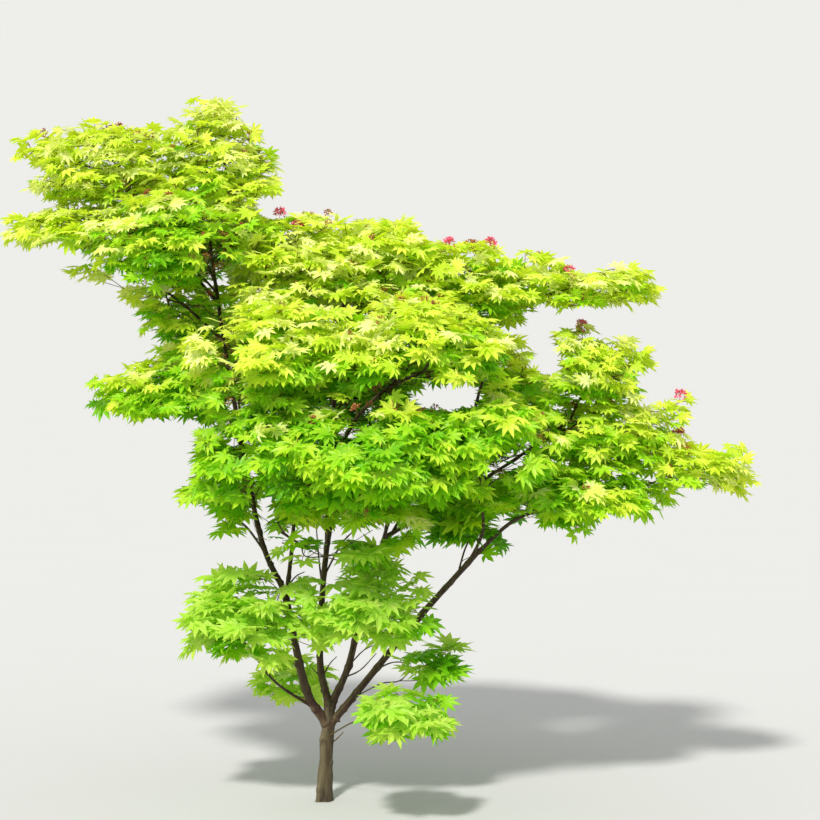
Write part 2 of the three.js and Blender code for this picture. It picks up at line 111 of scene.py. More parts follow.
LIMBS = (
    Limb("trunk", "", 0, ((0, 0, -0.012), (0.004, 0, 0.09), (0.01, 0.002, 0.18)), (0.016, 0.004, 0.262),
         (0.041, 0.031)),
    Limb("stem_left", "trunk", 0.76, ((-0.038, -0.008, 0.278), (-0.07, -0.016, 0.4)),
         (-0.1, -0.024, 0.558), (0.025, 0.018)),
    Limb("stem_leader", "stem_left", 1,
         ((-0.16, -0.018, 0.69), (-0.21, 0.004, 0.93), (-0.255, 0.02, 1.18)), (-0.3, 0.018, 1.5),
         (0.016, 0.008)),
    Limb("stem_inner", "stem_left", 0.97, ((-0.08, -0.062, 0.68),), (-0.062, -0.15, 0.88),
         (0.013, 0.008)),
    Limb("stem_middle", "trunk", 0.96, ((-0.01, 0.022, 0.372), (0.002, 0.05, 0.62)), (0.034, 0.07, 0.82),
         (0.021, 0.012)),
    Limb("stem_centre", "trunk", 0.93, ((0.066, 0.014, 0.36), (0.104, 0.04, 0.52)), (0.16, 0.076, 0.69),
         (0.021, 0.013)),
    Limb("stem_right", "trunk", 0.73, ((0.076, -0.008, 0.276), (0.236, -0.022, 0.474)),
         (0.404, -0.034, 0.664), (0.022, 0.014)),
    Limb("bough_shoulder", "stem_leader", 0.78, ((-0.35, 0.006, 1.3),), (-0.414, -0.01, 1.352),
         (0.008, 0.006)),
    Limb("bough_upper_left", "stem_leader", 0.86, ((-0.37, 0, 1.43),), (-0.475, 0, 1.548),
         (0.009, 0.006)),
    Limb("bough_tier", "stem_leader", 0.5, ((-0.262, -0.03, 1.05),), (-0.33, -0.052, 1.092),
         (0.009, 0.006)),
    Limb("bough_back_left", "stem_leader", 0.36, ((-0.215, 0.11, 0.93),), (-0.236, 0.22, 1.05),
         (0.01, 0.007)),
    Limb("bough_front_left", "stem_inner", 0.97, ((-0.084, -0.18, 0.99),), (-0.13, -0.205, 1.11),
         (0.008, 0.006)),
    Limb("bough_dome", "stem_middle", 0.97, ((0.026, 0.066, 1.01), (0.034, 0.044, 1.19)),
         (0.06, 0.03, 1.35), (0.011, 0.007)),
    Limb("bough_arch", "stem_middle", 1, ((0.062, 0.052, 0.97), (0.152, 0.02, 1.08)),
         (0.262, -0.014, 1.138), (0.012, 0.008)),
    Limb("bough_back_middle", "stem_middle", 0.72, ((0.006, 0.19, 0.84),), (0.026, 0.3, 1.01),
         (0.009, 0.007)),
    Limb("bough_front_middle", "stem_centre", 0.97, ((0.18, -0.06, 0.8), (0.17, -0.15, 0.93)),
         (0.15, -0.22, 1.09), (0.01, 0.007)),
    Limb("bough_reach", "stem_centre", 1, ((0.28, 0.076, 0.764), (0.47, 0.04, 0.88)), (0.65, 0.012, 1.01),
         (0.012, 0.007)),
    Limb("bough_upper_right", "bough_reach", 0.5, ((0.392, 0.06, 1), (0.44, 0.04, 1.18)),
         (0.486, 0.02, 1.32), (0.009, 0.006)),
    Limb("bough_back_right", "stem_centre", 0.9, ((0.23, 0.18, 0.78),), (0.33, 0.25, 0.95),
         (0.009, 0.007)),
    Limb("bough_low_right", "stem_right", 1, ((0.52, -0.036, 0.76), (0.69, -0.036, 0.79)),
         (0.86, -0.024, 0.846), (0.011, 0.006)),
    Limb("bough_front_right", "stem_right", 0.97, ((0.418, -0.1, 0.74),), (0.4, -0.17, 0.85),
         (0.009, 0.006)),
    Limb("bough_low_left", "stem_left", 0.2, ((-0.12, -0.036, 0.318),), (-0.176, -0.06, 0.392),
         (0.008, 0.005)),
)

MASSES = (
    Mass("foliage_top", "stem_leader", 1, (-0.29, 0, 1.69), (0.15, 0.175, 0.16), Part.LEADER),
    Mass("foliage_top_right", "stem_leader", 0.93, (-0.19, -0.02, 1.56),
         (0.125, 0.18, 0.13), Part.LEADER),
    Mass("foliage_upper_left", "bough_upper_left", 1, (-0.606, 0.01, 1.668),
         (0.248, 0.2, 0.122), Part.LEADER),
    Mass("foliage_arm", "bough_upper_left", 0.9, (-0.605, -0.04, 1.505), (0.255, 0.2, 0.08)),
    Mass("foliage_leader_front", "stem_leader", 0.88, (-0.4, -0.21, 1.48),
         (0.215, 0.195, 0.13), Part.LEADER),
    Mass("foliage_leader_back", "stem_leader", 0.9, (-0.36, 0.22, 1.5), (0.225, 0.2, 0.14), Part.LEADER),
    Mass("foliage_shoulder", "bough_shoulder", 1, (-0.39, -0.03, 1.305), (0.178, 0.195, 0.108)),
    Mass("foliage_tier", "bough_tier", 1, (-0.4, -0.08, 1.088), (0.208, 0.215, 0.104)),
    Mass("foliage_low_tier", "stem_leader", 0.2, (-0.275, -0.04, 0.85), (0.128, 0.19, 0.14), Part.DOME),
    Mass("foliage_dome_left", "stem_leader", 0.7, (-0.09, -0.03, 1.42), (0.205, 0.225, 0.13), Part.DOME),
    Mass("foliage_dome_middle", "bough_dome", 1, (0.19, 0, 1.43), (0.215, 0.225, 0.13), Part.DOME),
    Mass("foliage_dome_right", "bough_arch", 1, (0.43, 0.02, 1.35), (0.195, 0.215, 0.115), Part.DOME),
    Mass("foliage_upper_right", "bough_upper_right", 1, (0.69, 0, 1.362), (0.21, 0.19, 0.084)),
    Mass("foliage_front_left", "bough_front_left", 1, (-0.13, -0.34, 1.2),
         (0.225, 0.235, 0.15), Part.DOME),
    Mass("foliage_front_right", "bough_front_middle", 1, (0.255, -0.35, 1.2),
         (0.235, 0.235, 0.15), Part.DOME),
    Mass("foliage_right", "bough_reach", 1, (0.7, -0.02, 1.15), (0.18, 0.195, 0.11), Part.RIGHT),
    Mass("foliage_far_right", "bough_reach", 0.94, (0.74, 0, 0.97), (0.235, 0.215, 0.105), Part.RIGHT),
    Mass("foliage_tip_right", "bough_low_right", 1, (0.996, -0.02, 0.882),
         (0.152, 0.15, 0.086), Part.RIGHT),
    Mass("foliage_low_right", "bough_low_right", 0.5, (0.64, -0.1, 0.815),
         (0.262, 0.205, 0.1), Part.RIGHT),
    Mass("foliage_middle_right", "bough_front_right", 1, (0.42, -0.3, 0.97),
         (0.215, 0.225, 0.14), Part.DOME),
    Mass("foliage_middle", "bough_front_middle", 0.7, (0.13, -0.43, 0.95),
         (0.215, 0.215, 0.14), Part.DOME),
    Mass("foliage_middle_left", "stem_inner", 1, (-0.15, -0.31, 0.94), (0.195, 0.215, 0.15), Part.DOME),
    Mass("foliage_lower", "stem_inner", 0.5, (0.05, -0.18, 0.745), (0.235, 0.205, 0.11), Part.DOME),
    Mass("foliage_lower_right", "stem_right", 0.9, (0.4, 0.05, 0.76), (0.165, 0.175, 0.092), Part.DOME),
    Mass("foliage_hanging", "stem_centre", 0.6, (0.15, -0.19, 0.54), (0.175, 0.175, 0.12)),
    Mass("foliage_low_left", "bough_low_left", 1, (-0.22, -0.11, 0.505), (0.175, 0.175, 0.14)),
    Mass("foliage_low_front", "trunk", 0.62, (0.215, -0.32, 0.29), (0.15, 0.165, 0.08)),
    Mass("foliage_low_side", "stem_right", 0.32, (0.3, -0.07, 0.375), (0.115, 0.125, 0.075)),
    Mass("foliage_low_back", "stem_left", 0.16, (-0.09, 0.16, 0.29), (0.125, 0.135, 0.07)),
    Mass("foliage_back_left", "bough_back_left", 1, (-0.26, 0.42, 1.16),
         (0.245, 0.235, 0.15), Part.DOME),
    Mass("foliage_back_middle", "bough_back_middle", 1, (0.09, 0.5, 1.1),
         (0.235, 0.225, 0.15), Part.DOME),
    Mass("foliage_back_right", "bough_back_right", 1, (0.44, 0.4, 1.08),
         (0.235, 0.235, 0.15), Part.DOME),
    Mass("foliage_back_top", "bough_dome", 0.9, (0.11, 0.31, 1.35), (0.245, 0.205, 0.12), Part.DOME),
    Mass("foliage_back_low", "bough_back_right", 0.6, (0.15, 0.36, 0.84),
         (0.225, 0.205, 0.12), Part.DOME),
)

# The next places are given as the camera sees them, across and up on the plane through the trunk

# Where sky shows through the crown: the middle and half the size of each open place
OPENINGS = (
    (0.32, 1.072, 0.115, 0.045), (-0.367, 0.927, 0.05, 0.094), (0.338, 1.517, 0.105, 0.05),
    (0.684, 1.423, 0.058, 0.034), (0.587, 1.171, 0.052, 0.047), (0.553, 0.705, 0.089, 0.045),
    (0.765, 0.731, 0.079, 0.039), (-0.309, 0.747, 0.052, 0.042), (-0.508, 1.279, 0.052, 0.045),
    (0.741, 1.294, 0.068, 0.021), (0.975, 0.804, 0.058, 0.031), (1.009, 0.962, 0.071, 0.029),
    (0.186, 0.721, 0.029, 0.039), (-0.144, 0.786, 0.026, 0.045), (-0.479, 0.993, 0.1, 0.029),
    (-0.815, 1.643, 0.063, 0.045), (-0.131, 1.567, 0.058, 0.037), (0.542, 1.281, 0.031, 0.018),
    (0.726, 1.229, 0.037, 0.016), (-0.257, 0.846, 0.034, 0.016), (0.144, 0.707, 0.024, 0.021),
    (0.464, 0.749, 0.042, 0.024), (-0.081, 1.63, 0.042, 0.063), (0.155, 1.554, 0.086, 0.031),
    (-0.762, 1.662, 0.05, 0.018), (-0.69, 1.437, 0.1, 0.026), (-0.79, 1.56, 0.05, 0.02),
    (0.126, 0.712, 0.062, 0.034), (0.016, 0.702, 0.042, 0.046), (-0.25, 0.957, 0.032, 0.018),
    (-0.196, 0.872, 0.022, 0.02), (-0.055, 0.715, 0.03, 0.03),
)

# Bare shoots and stubs on the stems: the limb, the foot, the tip and the radius
SPURS = (
    ("stem_left", (-0.079, 0.406), (-0.128, 0.435), 0.003),
    ("stem_left", (-0.097, 0.514), (-0.121, 0.55), 0.0022),
    ("stem_inner", (-0.086, 0.569), (-0.05, 0.608), 0.0026),
    ("stem_middle", (-0.01, 0.335), (-0.031, 0.356), 0.0022),
    ("stem_middle", (-0.008, 0.325), (0.034, 0.38), 0.0024),
    ("stem_middle", (-0.003, 0.566), (-0.024, 0.755), 0.003),
    ("stem_middle", (0.0, 0.597), (0.094, 0.728), 0.0032),
    ("stem_centre", (0.06, 0.325), (0.139, 0.39), 0.0026),
    ("stem_centre", (0.068, 0.356), (0.147, 0.411), 0.0022),
    ("stem_centre", (0.073, 0.38), (0.089, 0.43), 0.0022),
    ("stem_right", (0.139, 0.346), (0.231, 0.367), 0.0026),
    ("stem_right", (0.16, 0.377), (0.162, 0.461), 0.0028),
    ("stem_right", (0.194, 0.419), (0.244, 0.458), 0.0024),
    ("trunk", (0.01, 0.152), (0.052, 0.181), 0.0028),
    ("stem_leader", (-0.144, 0.65), (-0.176, 0.697), 0.0024),
)

# Stretches of limb that the leaves before them leave in sight
SHOWN = (
    ("stem_leader", 0.2, 0.5), ("stem_leader", 0.64, 0.96), ("bough_shoulder", 0.1, 0.8),
    ("bough_arch", 0.35, 1.0), ("bough_reach", 0.62, 1.0), ("stem_right", 0.7, 1.0),
    ("bough_low_right", 0.0, 0.35), ("stem_middle", 0.55, 0.85), ("stem_inner", 0.1, 0.6),
)

# Where the bright blossoms stand
BLOSSOMS = (
    (-0.123, 1.548), (-0.073, 1.52), (0.341, 1.451), (0.445, 1.462), (0.629, 1.391), (0.679, 1.318),
    (0.673, 1.239), (0.922, 1.09), (0.925, 0.964), (0.943, 0.941),
)

# Shoots at the crown's rim, as points in space
TIPS = {
    "foliage_upper_left": (
        (-0.769, -0.02, 1.735), (-0.727, 0.03, 1.748), (-0.665, -0.05, 1.699), (-0.614, 0.02, 1.752),
        (-0.548, -0.04, 1.749),
    ),
    "foliage_arm": (
        (-0.788, -0.03, 1.481), (-0.777, 0.04, 1.5), (-0.62, -0.05, 1.446), (-0.597, 0.0, 1.421),
    ),
    "foliage_top": (
        (-0.306, 0.0, 1.812), (-0.288, 0.03, 1.799), (-0.24, -0.03, 1.789), (-0.323, -0.02, 1.778),
        (-0.312, 0.01, 1.84), (-0.238, 0.0, 1.816),
    ),
    "foliage_top_right": ((-0.153, -0.02, 1.599), (-0.166, 0.03, 1.661)),
    "foliage_shoulder": (
        (-0.628, -0.04, 1.396), (-0.59, 0.0, 1.41), (-0.56, -0.06, 1.39), (-0.6, 0.03, 1.38),
    ),
    "foliage_dome_left": (
        (-0.087, 0.02, 1.514), (-0.026, -0.03, 1.533), (-0.235, -0.15, 1.34), (-0.21, -0.19, 1.365),
        (-0.18, -0.16, 1.335), (-0.15, -0.21, 1.35), (-0.12, -0.17, 1.37), (-0.09, -0.2, 1.34),
        (-0.06, -0.18, 1.365), (-0.03, -0.21, 1.345), (0.0, -0.17, 1.37),
    ),
    "foliage_dome_middle": (
        (0.04, -0.19, 1.34), (0.07, -0.17, 1.37), (0.1, -0.2, 1.345), (0.13, -0.17, 1.365),
        (0.16, -0.2, 1.34), (0.19, -0.18, 1.36), (0.225, -0.2, 1.34), (0.26, -0.17, 1.355),
        (0.295, -0.19, 1.33),
    ),
    "foliage_dome_right": (
        (0.528, -0.02, 1.441), (0.559, 0.02, 1.424), (0.494, -0.06, 1.395), (0.536, 0.03, 1.399),
        (0.577, -0.03, 1.392),
    ),
    "foliage_upper_right": (
        (0.787, 0.0, 1.398), (0.845, -0.03, 1.353), (0.839, 0.03, 1.32), (0.752, 0.04, 1.381),
    ),
    "foliage_right": ((0.82, -0.02, 1.187), (0.806, 0.03, 1.15)),
    "foliage_far_right": (
        (0.89, -0.04, 1.041), (0.928, 0.02, 1.03), (0.934, -0.02, 1.058), (0.909, -0.06, 1.011),
    ),
    "foliage_tip_right": ((1.093, -0.02, 0.852), (1.081, 0.02, 0.818), (1.005, -0.03, 0.881)),
    "foliage_low_right": ((0.856, -0.03, 0.778), (0.831, 0.03, 0.762), (0.877, 0.0, 0.793)),
    "foliage_lower_right": (
        (0.45, 0.0, 0.678), (0.487, 0.04, 0.686), (0.405, -0.03, 0.661), (0.353, 0.05, 0.688),
    ),
    "foliage_tier": ((-0.564, -0.04, 1.054), (-0.547, 0.02, 1.079), (-0.5, -0.02, 1.097)),
    "foliage_middle_left": ((-0.33, -0.27, 0.882), (-0.16, -0.22, 0.735), (-0.135, -0.24, 0.722)),
    "foliage_lower": (
        (0.1, -0.3, 0.768), (0.135, -0.31, 0.756), (-0.085, -0.2, 0.69), (-0.1, -0.17, 0.705),
    ),
    "foliage_low_left": (
        (-0.075, -0.12, 0.59), (-0.05, -0.15, 0.56), (-0.04, -0.12, 0.535), (-0.02, -0.16, 0.51),
        (-0.065, -0.14, 0.5), (-0.035, -0.17, 0.475), (0.0, -0.13, 0.46), (-0.075, -0.16, 0.455),
        (-0.02, -0.14, 0.435),
    ),
    "foliage_hanging": ((-0.01, -0.19, 0.565), (0.0, -0.21, 0.53), (0.02, -0.17, 0.6)),
}

# How fine the foliage of a part is, as a share of the rest's leaf size
FINENESS = {Part.LEADER: 0.87, Part.RIGHT: 0.87}

# How much more painted light (above 0) or painted shade (below 0) a mass's leaves get than their height alone
# gives them
LIGHTER = {
    "foliage_top": 0.04,
    "foliage_arm": -0.06,
    "foliage_leader_front": -0.38,
    "foliage_leader_back": -0.12,
    "foliage_shoulder": -0.14,
    "foliage_low_tier": 0.12,
    "foliage_dome_left": 0.42,
    "foliage_dome_middle": 0.14,
    "foliage_dome_right": 0.04,
    "foliage_front_left": 0.1,
    "foliage_right": 0.08,
    "foliage_far_right": 0.14,
    "foliage_tip_right": 0.08,
    "foliage_low_right": -0.04,
    "foliage_middle_right": -0.02,
    "foliage_middle": -0.08,
    "foliage_middle_left": -0.02,
    "foliage_lower": 0.12,
    "foliage_lower_right": -0.12,
    "foliage_hanging": 0.2,
    "foliage_low_left": 0.12,
    "foliage_low_front": -0.16,
    "foliage_low_side": -0.2,
    "foliage_back_top": 0.34,
    "foliage_back_low": -0.12,
}

# The steps of the row that spreads shoots evenly through a mass
SERIES = (0.8191725134, 0.6710436067, 0.5497004779)


# Shapes


STEEP = 0.95  # above this rise, a tube takes its side from another axis
SHORTEST = 1e-9  # a length that stands in for nothing


@dataclass
class Seeded:
    """Numbers from 0 to 1 that look random and are the same on every run."""

    state: int
    factor: int = 1664525
    step: int = 1013904223
    size: int = 2**32

    def __call__(self) -> float:
        """Returns the next number of the row."""
        self.state = (self.state * self.factor + self.step) % self.size
        return self.state / self.size


class Route:
    """A smooth curve through points, the one that the source draws a limb along."""

    def __init__(self, points: list[np.ndarray]) -> None:
        """Keeps the points, with one more beyond each end.

        Args:
            points: the points from foot to tip.
        """
        inner = np.array(points, float)
        first = 2 * inner[0] - inner[1]
        last = 2 * inner[-1] - inner[-2]
        self.points = np.vstack((first, inner, last))
        self.spans = len(inner) - 1

    def at(self, shares: np.ndarray | float) -> np.ndarray:
        """Points on the curve.

        Args:
            shares: how far along, from 0 to 1.

        Returns:
            One point for each share.
        """
        place = np.clip(np.asarray(shares, float), 0, 1) * self.spans
        span = np.minimum(place.astype(int), self.spans - 1)
        t = (place - span)[..., None]
        p0, p1, p2, p3 = (self.points[span + k] for k in range(4))
        return bent(p0, p1, p2, p3, t)

    def length(self, steps: int = 60) -> float:
        """The curve's length.

        Args:
            steps: how many of its points are measured between.

        Returns:
            The length in metres.
        """
        points = self.at(np.linspace(0, 1, steps))
        return float(np.linalg.norm(np.diff(points, axis=0), axis=1).sum())


def bent(p0: np.ndarray, p1: np.ndarray, p2: np.ndarray, p3: np.ndarray, t: np.ndarray) -> np.ndarray:
    """Points of a smooth span between two points.

    Args:
        p0: the point before the span.
        p1: the span's start.
        p2: the span's end.
        p3: the point after it.
        t: shares of the span.

    Returns:
        The points at those shares.
    """
    leave = (p2 - p0) / 2
    arrive = (p3 - p1) / 2
    square = -3 * p1 + 3 * p2 - 2 * leave - arrive
    cube = 2 * p1 - 2 * p2 + leave + arrive
    return p1 + leave * t + square * t**2 + cube * t**3


def unit(vectors: np.ndarray) -> np.ndarray:
    """Vectors shortened or lengthened to 1."""
    return vectors / np.maximum(np.linalg.norm(vectors, axis=-1, keepdims=True), SHORTEST)


def seen(points: np.ndarray) -> np.ndarray:
    """Where the camera sees points, across and up on the upright plane through the trunk.

    Args:
        points: the points.

    Returns:
        Two numbers for each point.
    """
    nearness = -EYE[1] / (points[..., 1] - EYE[1])
    return (EYE + (points - EYE) * nearness[..., None])[..., (0, 2)]


def is_open(points: np.ndarray) -> np.ndarray:
    """Whether points are where the sky shows through the crown.

    Args:
        points: the points.

    Returns:
        True or False for each point.
    """
    openings = np.array(OPENINGS)
    ways = (seen(points)[:, None] - openings[:, :2]) / openings[:, 2:]
    return (np.linalg.norm(ways, axis=-1) < 1).any(1)


def tubes(centres: np.ndarray, radii: np.ndarray, sides: int) -> tuple[np.ndarray, np.ndarray]:
    """Tubes of the same number of rings, all at once.

    Args:
        centres: the middles of the rings, as tube, ring and axis.
        radii: the radii, as tube and ring, or as tube, ring and side.
        sides: corners of each ring.

    Returns:
        The corners and the triangles.
    """
    count, rings = centres.shape[:2]
    if radii.ndim == 2:
        radii = radii[:, :, None]
    along = unit(np.gradient(centres, axis=1))
    chord = unit(centres[:, -1] - centres[:, 0])
    level = np.where(np.abs(chord[:, 2:]) > STEEP, np.array((1.0, 0.0, 0.0)), UP)
    side = unit(np.cross(chord, level))[:, None, :]
    side = unit(side - along * (side * along).sum(-1, keepdims=True))
    over = np.cross(along, side)
    turn = np.arange(sides) * 2 * math.pi / sides
    across = side[:, :, None, :] * np.cos(turn)[:, None] + over[:, :, None, :] * np.sin(turn)[:, None]
    corners = centres[:, :, None, :] + across * radii[..., None]
    ring = np.arange(rings - 1)[:, None] * sides
    low = ring + np.arange(sides)
    low_next = ring + (np.arange(sides) + 1) % sides
    quads = np.stack((low, low_next, low_next + sides, low + sides), -1).reshape(-1, 4)
    faces = np.concatenate((quads[:, (0, 1, 2)], quads[:, (0, 2, 3)]))
    first = np.arange(count)[:, None, None] * rings * sides
    return corners.reshape(-1, 3), (faces[None] + first).reshape(-1, 3)


class Shell:
    """Corners and triangles that are gathered into one mesh."""

    def __init__(self) -> None:
        """Starts with nothing in it."""
        self.corners: list[np.ndarray] = []
        self.faces: list[np.ndarray] = []
        self.count = 0

    def add(self, corners: np.ndarray, faces: np.ndarray) -> None:
        """Adds a form.

        Args:
            corners: its corners.
            faces: its triangles, which number its own corners.
        """
        self.corners.append(corners)
        self.faces.append(faces + self.count)
        self.count += len(corners)

    def build(self, name: str, material: bpy.types.Material, is_smooth: bool) -> bpy.types.Object:
        """Makes the object.

        Args:
            name: the piece's name.
            material: its material.
            is_smooth: whether light runs smoothly over its faces.

        Returns:
            The object, linked to the scene.
        """
        corners = np.concatenate(self.corners).astype(np.float32)
        faces = np.concatenate(self.faces).astype(np.int32)
        mesh = bpy.data.meshes.new(name)
        mesh.vertices.add(len(corners))
        mesh.vertices.foreach_set("co", corners.ravel())
        mesh.loops.add(faces.size)
        mesh.loops.foreach_set("vertex_index", faces.ravel())
        mesh.polygons.add(len(faces))
        mesh.polygons.foreach_set("loop_start", np.arange(0, faces.size, 3, dtype=np.int32))
        mesh.polygons.foreach_set("use_smooth", np.full(len(faces), is_smooth))
        mesh.materials.append(material)
        mesh.update(calc_edges=True)
        made = bpy.data.objects.new(name, mesh)
        bpy.context.scene.collection.objects.link(made)
        return made


def seat(piece: bpy.types.Object, nodes: list[str]) -> bpy.types.Object:
    """Fixes a piece to the body, in place of the frame's own nodes.

    Args:
        piece: the piece.
        nodes: the frame's nodes that it replaces.

    Returns:
        The piece.
    """
    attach(piece, BODY)
    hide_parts(*nodes)
    log.info("%s: %d faces", piece.name, len(piece.data.polygons))
    return piece


# Finishes


Colour = tuple[float, float, float]
PAINTED_LIT_SIDE = (-0.86, -0.3, 0.4)  # the way that the bark's painted lit side faces: bark turned to the upper left and the front is painted lighter and greyer, as if lit
MIX_A, MIX_B, MIX_RESULT = 6, 7, 2  # a Mix node's colour sockets
CLOUD_ROUGHNESS = 0.6  # how much the finer layers of a cloud count


def toned(colour: Colour, tone: float) -> Colour:
    """A colour made lighter or darker."""
    return tuple(tone * part for part in colour)


class Value:
    """A socket of a node tree that takes part in sums as a number does."""

    def __init__(self, graph: "Graph", socket: bpy.types.NodeSocket) -> None:
        """Keeps the socket.

        Args:
            graph: the tree that it is in.
            socket: the output socket.
        """
        self.graph = graph
        self.socket = socket

    def worked(self, operation: str, first: "Value | float", second: "Value | float") -> "Value":
        """A Math node's result.

        Args:
            operation: the node's operation.
            first: its first number.
            second: its second number.

        Returns:
            The result.
        """
        return self.graph.node("ShaderNodeMath", {"operation": operation}, {0: first, 1: second})

    def __add__(self, other: "Value | float") -> "Value":
        """The sum."""
        return self.worked("ADD", self, other)

    def __radd__(self, other: float) -> "Value":
        """The sum, with the number first."""
        return self.worked("ADD", other, self)

    def __sub__(self, other: "Value | float") -> "Value":
        """The difference."""
        return self.worked("SUBTRACT", self, other)

    def __rsub__(self, other: float) -> "Value":
        """The difference, with the number first."""
        return self.worked("SUBTRACT", other, self)

    def __mul__(self, other: "Value | float") -> "Value":
        """The product."""
        return self.worked("MULTIPLY", self, other)

    def __rmul__(self, other: float) -> "Value":
        """The product, with the number first."""
        return self.worked("MULTIPLY", other, self)


@dataclass(frozen=True)
class Cloud:
    """A soft irregular pattern: clouds to a metre, finer layers, and the noise that becomes 0 and 1."""

    scale: float
    detail: float
    low: float
    high: float


class Graph:
    """The nodes of one material."""

    def __init__(self, name: str) -> None:
        """Starts an empty material.

        Args:
            name: the material's name.
        """
        self.material = bpy.data.materials.new(name)
        self.material.use_nodes = True
        self.tree = self.material.node_tree
        self.tree.nodes.clear()

    def node(
        self,
        kind: str,
        settings: dict[str, object],
        inputs: dict[int | str, object],
        output: int | str = 0,
    ) -> Value | None:
        """Adds a node.

        Args:
            kind: the node's type.
            settings: its properties, and a ramp's stops as places and grey values.
            inputs: values or links for its sockets, by number or name.
            output: the socket that is returned.

        Returns:
            The output socket's value, or nothing where the node has no output.
        """
        made = self.tree.nodes.new(kind)
        for name, value in settings.items():
            if name == "stops":
                self.set_stops(made.color_ramp, value)
            else:
                setattr(made, name, value)
        for key, value in inputs.items():
            if isinstance(value, Value):
                self.tree.links.new(value.socket, made.inputs[key])
            elif isinstance(value, tuple) and made.inputs[key].type == "RGBA":
                made.inputs[key].default_value = (*value, 1.0)
            else:
                made.inputs[key].default_value = value
        return Value(self, made.outputs[output]) if made.outputs else None

    @staticmethod
    def set_stops(ramp: bpy.types.ColorRamp, stops: tuple[tuple[float, float], ...]) -> None:
        """Sets a ramp's stops.

        Args:
            ramp: the ramp.
            stops: each stop's place and grey value.
        """
        for index, (place, grey) in enumerate(stops):
            stop = ramp.elements[index] if index < len(ramp.elements) else ramp.elements.new(place)
            stop.position = place
            stop.color = (grey, grey, grey, 1)

    def ramp(self, value: Value, low: float, high: float) -> Value:
        """A value stretched so that one number becomes 0 and another becomes 1.

        Args:
            value: the value.
            low: the number that becomes 0.
            high: the number that becomes 1.

        Returns:
            A value from 0 to 1.
        """
        return self.node("ShaderNodeValToRGB", {"stops": ((low, 0), (high, 1))}, {0: value})

    def place(self, stretch: tuple[float, float, float] = (1, 1, 1)) -> Value:
        """Where a point of the surface is, in the object's own axes.

        Args:
            stretch: how many times the pattern repeats along each axis.

        Returns:
            The place as a vector.
        """
        at = self.node("ShaderNodeTexCoord", {}, {}, "Object")
        return self.node("ShaderNodeVectorMath", {"operation": "MULTIPLY"}, {0: at, 1: stretch})

    def cloud(self, at: Value, pattern: Cloud) -> Value:
        """A soft irregular pattern.

        Args:
            at: the place on the surface.
            pattern: how it looks.

        Returns:
            A value from 0 to 1.
        """
        sockets = {
            "Vector": at,
            "Scale": pattern.scale,
            "Detail": pattern.detail,
            "Roughness": CLOUD_ROUGHNESS,
        }
        return self.ramp(self.node("ShaderNodeTexNoise", {}, sockets), pattern.low, pattern.high)

    def mix(self, share: Value | float, first: Value | Colour, second: Value | Colour) -> Value:
        """Two colours mixed.

        Args:
            share: the second one's share.
            first: the first colour.
            second: the second colour.

        Returns:
            The mixed colour.
        """
        sockets = {0: share, MIX_A: first, MIX_B: second}
        return self.node("ShaderNodeMix", {"data_type": "RGBA"}, sockets, MIX_RESULT)

    def bump(self, height: Value, distance: float, strength: float) -> Value:
        """A normal that follows a height.

        Args:
            height: from 0 to 1.
            distance: metres between the two.
            strength: how strong it is.

        Returns:
            The normal.
        """
        sockets = {"Height": height, "Distance": distance, "Strength": strength}
        return self.node("ShaderNodeBump", {}, sockets)

    def facing(self, way: tuple[float, float, float]) -> Value:
        """How squarely the surface faces a direction, from -1 to 1.

        Args:
            way: the direction.

        Returns:
            The value.
        """
        normal = self.node("ShaderNodeNewGeometry", {}, {}, "Normal")
        return self.node("ShaderNodeVectorMath", {"operation": "DOT_PRODUCT"}, {0: normal, 1: way}, "Value")

    def surface(self, colour: Value, roughness: Value | float, gloss: float, **others: Value) -> Value:
        """An opaque surface.

        Args:
            colour: its base colour.
            roughness: its roughness.
            gloss: how much it shines.
            others: links for its other sockets.

        Returns:
            The shader.
        """
        sockets = {"Base Color": colour, "Roughness": roughness, "Specular IOR Level": gloss, **others}
        return self.node("ShaderNodeBsdfPrincipled", {}, sockets)

    def finish(self, surface: Value) -> bpy.types.Material:
        """Ends the tree.

        Args:
            surface: the shader.

        Returns:
            The material.
        """
        self.node("ShaderNodeOutputMaterial", {}, {"Surface": surface})
        return self.material


